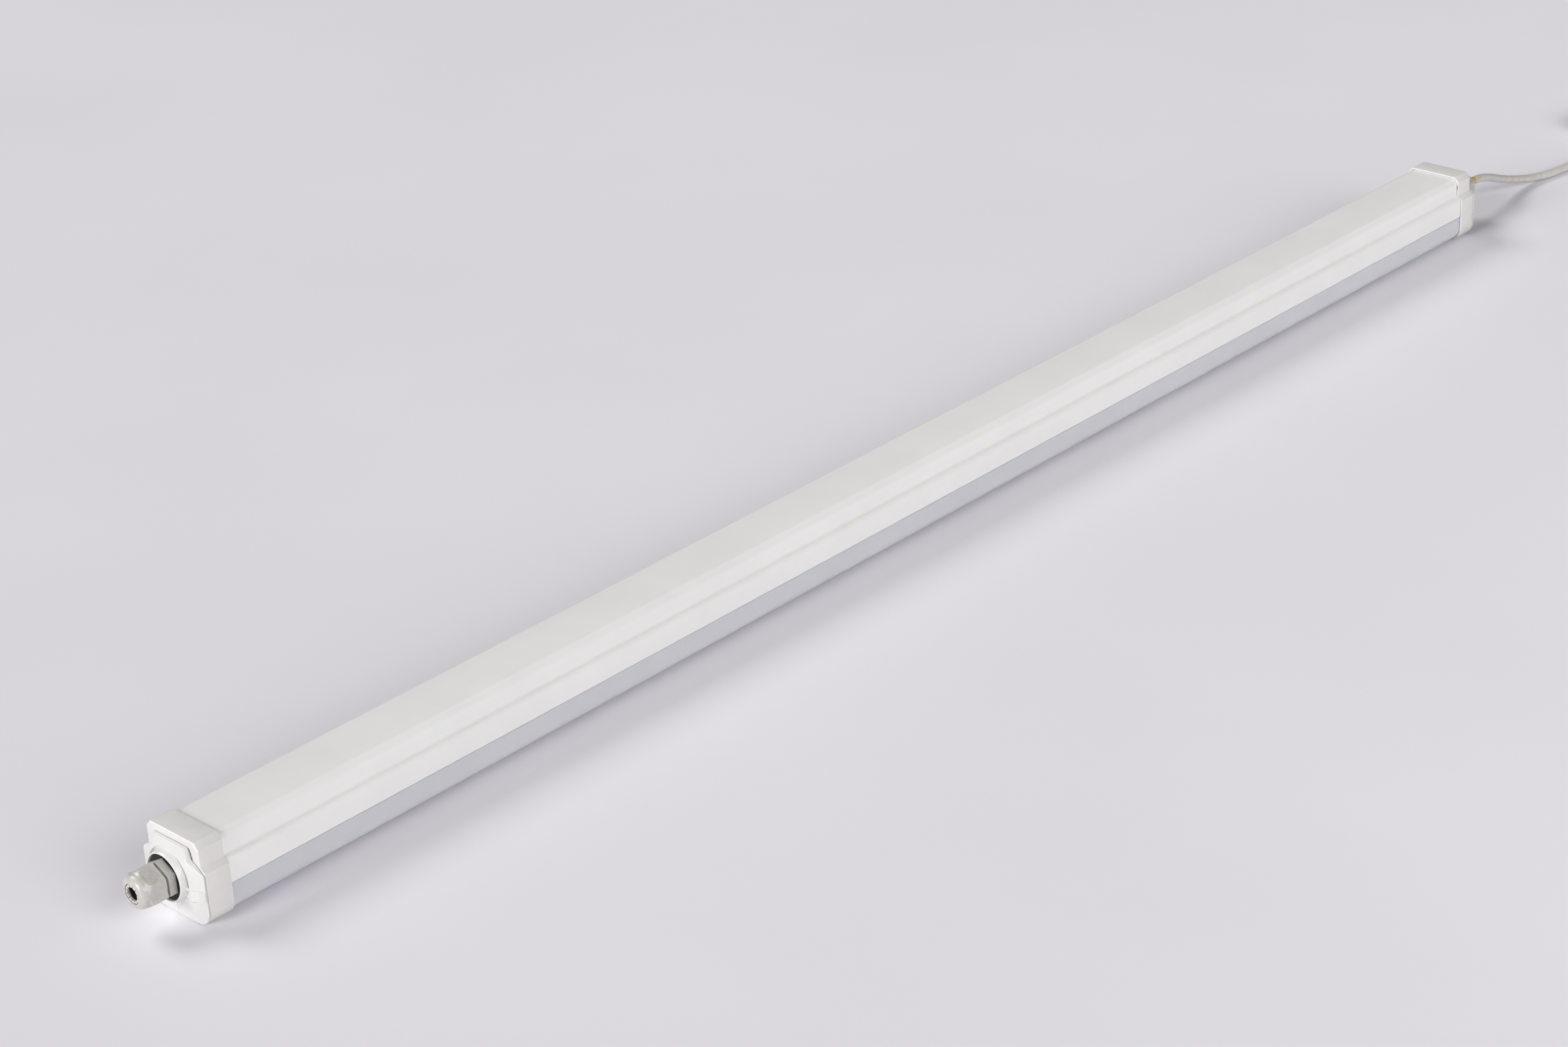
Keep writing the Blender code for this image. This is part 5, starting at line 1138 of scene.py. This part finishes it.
def nut_rows(angles):
    """Rows of the nut: thread bore, rear edge, ribbed flats, shoulder, dome, mouth and inner cone."""
    flats = hexagon(angles)
    depth = ribs(angles)
    rows = [(THREAD_RADIUS, CONE[-1][1]), (THREAD_RADIUS, NUT_REAR + NUT_BREAK)]
    rows += [(THREAD_RADIUS + NUT_BREAK, NUT_REAR)]
    rows += [(flats - inward, NUT_REAR + forward) for inward, forward in NUT_BEVEL]
    for out in FLAT_OUTS:
        ribbed = depth * soft_step(out, *RIB_START) * soft_step(RIB_END - out, 0.0, 1.0)
        shoulder = np.full_like(flats, np.interp(out, SHOULDER_OUT, SHOULDER_RADIUS))
        rows.append((soft_least(flats - ribbed, shoulder, SHOULDER_BLEND), out))
    centre = (DOME_RADIUS - DOME_ROUND, NUT_FRONT - DOME_ROUND)
    for turn in np.radians(np.linspace(2.0, 86.0, 16)):
        radius = np.minimum(centre[0] + DOME_ROUND * math.cos(turn), flats)
        rows.append((radius, centre[1] + DOME_ROUND * math.sin(turn)))
    return rows + [(MOUTH_RADIUS + MOUTH_BREAK, NUT_FRONT), (MOUTH_RADIUS, NUT_FRONT - MOUTH_BREAK), *CONE]


nut = nut_rows(NUT_ANGLES)
print("rows of the nut:", len(nut))

# %% [markdown]
# The body sits in the cover's well: a hexagonal flange, a neck in front of it and a shank behind
# it. The neck's thread is drawn as even ridges, because its slope is too small to see.

# %% Gland body
BODY_ANGLES = np.linspace(-math.pi, math.pi, 360, endpoint=False)
NECK_RADIUS = 10.6
NECK_END = 24.5
NECK_ROOT = 10.3
BODY_BORE = 8.9
BODY_BORE_END = 17.2
BODY_BREAK = 0.2
CREST_START = 0.6
CREST_COUNT = 18
CREST_STEP = 0.45
CREST_DEPTH = 0.35
FLANGE = (9.3, 15.3)
FLANGE_BREAK = 0.35
FLANGE_ROUND = 0.1
SHANK = ((9.9, 9.3), (9.9, -5.4), (9.7, -5.7), (6.8, -5.7), (6.8, BODY_BORE_END))


def body_rows(angles):
    """Rows of the body: bore, neck with its thread crests, flange hexagon, shank and bore again."""
    flats = hexagon(angles)
    back, front = FLANGE
    first = NECK_END - CREST_START
    rows = [(BODY_BORE, BODY_BORE_END), (BODY_BORE, NECK_END - BODY_BREAK)]
    rows += [(BODY_BORE + BODY_BREAK, NECK_END)]
    rows += [(NECK_RADIUS - BODY_BREAK, NECK_END), (NECK_RADIUS, NECK_END - BODY_BREAK)]
    for index in range(CREST_COUNT):
        rows.append((NECK_RADIUS - CREST_DEPTH * (index % 2), first - CREST_STEP * index))
    rows += [(NECK_ROOT, front), (flats - FLANGE_BREAK, front), (flats - FLANGE_ROUND, front - FLANGE_ROUND)]
    rows += [(flats, front - FLANGE_BREAK), (flats, back + FLANGE_BREAK)]
    return rows + [(flats - FLANGE_ROUND, back + FLANGE_ROUND), (flats - FLANGE_BREAK, back), *SHANK]


body = body_rows(BODY_ANGLES)
for end in ENDS:
    end_piece("nut", end, nut, NUT_ANGLES, nut_finish, "nylon_grey", "gland_nut")
    end_piece("body", end, body, BODY_ANGLES, gland_finish, "nylon_grey", "gland_body")

# %% [markdown]
# Inside the nut's mouth a ring of thin claws grips a rubber seal. The claws stand side by side
# with slits between them, which shows as a pale ring with fine dark cuts. Each claw is a closed
# block, bent round the axis, and all of them grow from a plain sleeve. The seal and the washer are
# profiles turned round the axis. The right seal closes on the cord, so its bore is tighter.

# %% Claws, seals and washers
CLAW_COUNT = 12
CLAW_SLIT = 0.55
CLAW_MIDDLE = 6.0
CLAW_STEPS = 7
CLAW = np.array([(5.2, 36.0), (6.55, 36.0), (6.9, 35.7), (8.5, 28.0), (7.2, 28.0), (5.8, 34.0), (5.2, 34.3)])
SLEEVE = ((7.0, 17.4), (8.5, 17.4), (8.5, 27.9), (7.2, 27.9))
SEAL = ((5.15, 33.9), (6.6, 28.0), (6.7, 26.7), (6.7, 17.4))
SEAL_BORE = {"left": 5.0, "right": 4.05}
WASHER = ((10.2, 7.5), (16.1, 7.5), (16.4, 7.8), (16.4, 8.7), (16.1, 9.0), (10.2, 9.0))
RING_ANGLES = np.linspace(-math.pi, math.pi, 96, endpoint=False)


def turned(profile, angles, end):
    """A closed profile of radius and distance out, turned round the gland axis."""
    profile = np.array(profile, float)
    return (at_end(profile[:, :1], angles[None], profile[:, 1:], end), True, True)


def claw_grids(end):
    """Bent blocks: for each claw a closed loop of its section at evenly spaced angles, with end caps."""
    grids = []
    half = math.pi / CLAW_COUNT - CLAW_SLIT / 2 / CLAW_MIDDLE
    for index in range(CLAW_COUNT):
        angles = 2 * math.pi * index / CLAW_COUNT + np.linspace(-half, half, CLAW_STEPS)
        block = at_end(CLAW[:, :1], angles[None], CLAW[:, 1:], end)
        middle = block.mean(axis=0)
        grids.append((block, True, False))
        for column in (0, -1):
            cap = np.concatenate([block[:, column], block[:1, column]])
            grids.append((np.stack([cap, np.broadcast_to(middle[column], cap.shape)]), False, False))
    return grids


for end in ENDS:
    insert = surface(f"insert_{end}", claw_grids(end) + [turned(SLEEVE, RING_ANGLES, end)], claw_finish)
    stand_for(insert, "nylon_grey", f"gland_insert_{end}")
    bore = SEAL_BORE[end]
    profile = SEAL + ((bore + 0.3, 17.4), (bore, 17.7), (bore, 33.6), (bore + 0.1, 33.9))
    seal = surface(f"seal_{end}", [turned(profile, RING_ANGLES, end)], rubber_finish)
    stand_for(seal, "rubber_black", f"gland_seal_{end}")
    washer = surface(f"washer_{end}", [turned(WASHER, RING_ANGLES, end)], rubber_finish)
    stand_for(washer, "rubber_black", f"gland_washer_{end}")

# %% [markdown]
# ## What is inside
# The tray, boards, driver, terminals and wires show when a cover is drawn off. Their CAD shapes
# are right as they are, so each keeps its shape and gets a real finish: drawn aluminium with
# lines along the light, white solder resist with yellow LEDs, zinc plated screws and PVC wires.

# %% Finishes of the inner parts
DRAWN_LINE_WIDTH = 0.4 * MM
DRAWN_LINE_LENGTH = 100.0 * MM
BOARD_FACE = 26.6 * MM


def drawn_aluminium():
    """Mill finish aluminium with fine lines along X."""
    material, tree, shader, place = finish("aluminium_drawn", "#C9CBCE", 0.34, metallic=1.0)
    drawn_lines(tree, shader, place, DRAWN_LINE_WIDTH, DRAWN_LINE_LENGTH, 0.01 * MM, 3.0)
    uneven_gloss(tree, shader, place, 0.28, 0.42, 10.0 * MM)
    return material


def lamp_board():
    """White solder resist above, and yellow phosphor on whatever stands below the board's face."""
    material, tree, shader, place = finish("solder_resist_white", "#EDEFEA", 0.35, IOR=1.5)
    split = add(tree, "ShaderNodeSeparateXYZ", Vector=place)
    below = add(tree, "ShaderNodeMath", {"operation": "LESS_THAN"}, _0=split.outputs["Z"])
    below.inputs[1].default_value = BOARD_FACE
    resist = mottled(tree, place, "#EDEFEA", "#E6E8E3", 5.0 * MM)
    mix = add(tree, "ShaderNodeMix", {"data_type": "RGBA"}, _0=below.outputs[0], _6=resist)
    mix.inputs[7].default_value = linear("#E8C84A")
    paint(tree, shader, mix.outputs[2])
    return material


def zinc():
    """Zinc plated steel, lightly cloudy."""
    material, tree, shader, place = finish("steel_zinc_plated", "#B9BBBE", 0.3, metallic=1.0)
    paint(tree, shader, mottled(tree, place, "#B3B6BA", "#C0C1C2", 1.5 * MM))
    uneven_gloss(tree, shader, place, 0.24, 0.4, 1.0 * MM)
    return material


screw_finish = zinc()
case_finish = moulded_white("moulded_polycarbonate_driver", "#DEDEDB", "#E3E3E0")
connector_finish = nylon("polyamide_connector", "#BFC0BF", "#C8C9C8", 0.4, 0.5)
print("inner finishes:", screw_finish.name, case_finish.name, connector_finish.name)

# %% [markdown]
# A table gives each inner part its finish and its slot, by the first words of its name. A loop
# adds the wires, which share the cord's wiring colours, and another loop dresses every node that
# no new piece stands for.

# %% Dress the inner parts
INNER = {
    "led_tray": (drawn_aluminium(), "aluminium"),
    "led_board": (lamp_board(), "board_white"),
    "board_screw": (screw_finish, "steel"),
    "driver_screw": (screw_finish, "steel"),
    "driver_case": (case_finish, "case_white"),
    "terminal_block": (connector_finish, "connector_grey"),
    "supply_socket": (connector_finish, "connector_grey"),
    "supply_plug": (connector_finish, "connector_grey"),
    "cord_tail": (cord_finish, "cord_white"),
    "gland_locknut": (gland_finish, "nylon_grey"),
    "cover_gasket": (silicone_finish, "silicone"),
}
WIRE_COLOURS = {}
for wire in ("board_link", "board_lead"):
    WIRE_COLOURS[f"{wire}_minus"] = "black"
    WIRE_COLOURS[f"{wire}_plus"] = "red"
for kind, colour in CORE_COLOURS.items():
    WIRE_COLOURS[f"through_wire_{kind}"] = colour
    WIRE_COLOURS[f"supply_core_{kind}"] = colour
for wire, colour in WIRE_COLOURS.items():
    INNER[wire] = (CORE_FINISHES[colour], f"wire_{colour}")

dressed = 0
for node, shape in frame["nodes"].items():
    looks = [look for start, look in INNER.items() if node.startswith(start)]
    if looks and not shape.hide_render:
        material, slot = looks[0]
        shape.data.materials.clear()
        shape.data.materials.append(material)
        dressed += 1
print("inner parts dressed:", dressed)

# %% [markdown]
# ## Floor and light
# The floor is a plain pale sheet with a trace of violet. It is as wide as it needs to be to fill
# the picture, and it keeps the light's soft shadow.

# %% Floor
FLOOR_SIZE = 30.0


def sheet_floor():
    """Matt pale sheet, with a cloudiness half a metre wide that is hardly seen."""
    material, tree, shader, place = finish("floor_sheet", "#E6E4E9", 0.8)
    paint(tree, shader, mottled(tree, place, "#E7E5EA", "#E4E2E7", 0.5))
    return material


corners = np.array([[(-1, -1, 0), (1, -1, 0)], [(-1, 1, 0), (1, 1, 0)]]) * FLOOR_SIZE / 2
floor = surface("floor", [(corners, False, False)], sheet_floor())
print("floor in m:", FLOOR_SIZE)

# %% [markdown]
# Three suns stand for large soft boxes, because the shading is even along the whole light.
# The one on the camera's side makes the long side bright. The one beyond the near end lights the
# covers. The one high behind the light lays the soft shadow along the near side. A real strip box
# adds a gentle shine, and a dim even sky fills the rest. A wide angle gives a sun soft shadows.

# %% Lamps and sky
ORIGIN = (0.0, 0.0, 0.0)
SKY_STRENGTH = 0.03


def lamp(name, kind, place, target, strength, **settings):
    """A lamp at a place that shines at a target, both in metres."""
    light = bpy.data.objects.new(name, bpy.data.lights.new(name, kind))
    bpy.context.scene.collection.objects.link(light)
    ahead = Vector(target) - Vector(place)
    light.matrix_world = Matrix.Translation(place) @ ahead.to_track_quat("-Z", "Y").to_matrix().to_4x4()
    light.data.energy = strength
    for setting, value in settings.items():
        setattr(light.data, setting, value)
    print("lamp:", name, kind, strength)


lamp("side_soft_box", "SUN", (-0.1, -0.88, 0.46), ORIGIN, 1.62, angle=math.radians(35.0))
lamp("end_soft_box", "SUN", (-0.93, 0.0, 0.36), ORIGIN, 2.3, angle=math.radians(25.0))
lamp("back_soft_box", "SUN", (-0.15, 0.66, 0.74), ORIGIN, 1.4, angle=math.radians(28.0))
strip = {"shape": "RECTANGLE", "size": 1.2, "size_y": 0.5}
lamp("strip_box", "AREA", (0.15, -1.5, 0.85), (0.15, 0.0, 0.03), 1.7, **strip)
world = bpy.data.worlds.new("studio")
world.use_nodes = True
sky = world.node_tree.nodes["Background"]
sky.inputs["Color"].default_value = linear("#FFFFFF")
sky.inputs["Strength"].default_value = SKY_STRENGTH
bpy.context.scene.world = world
bpy.context.scene.view_settings.view_transform = "Standard"
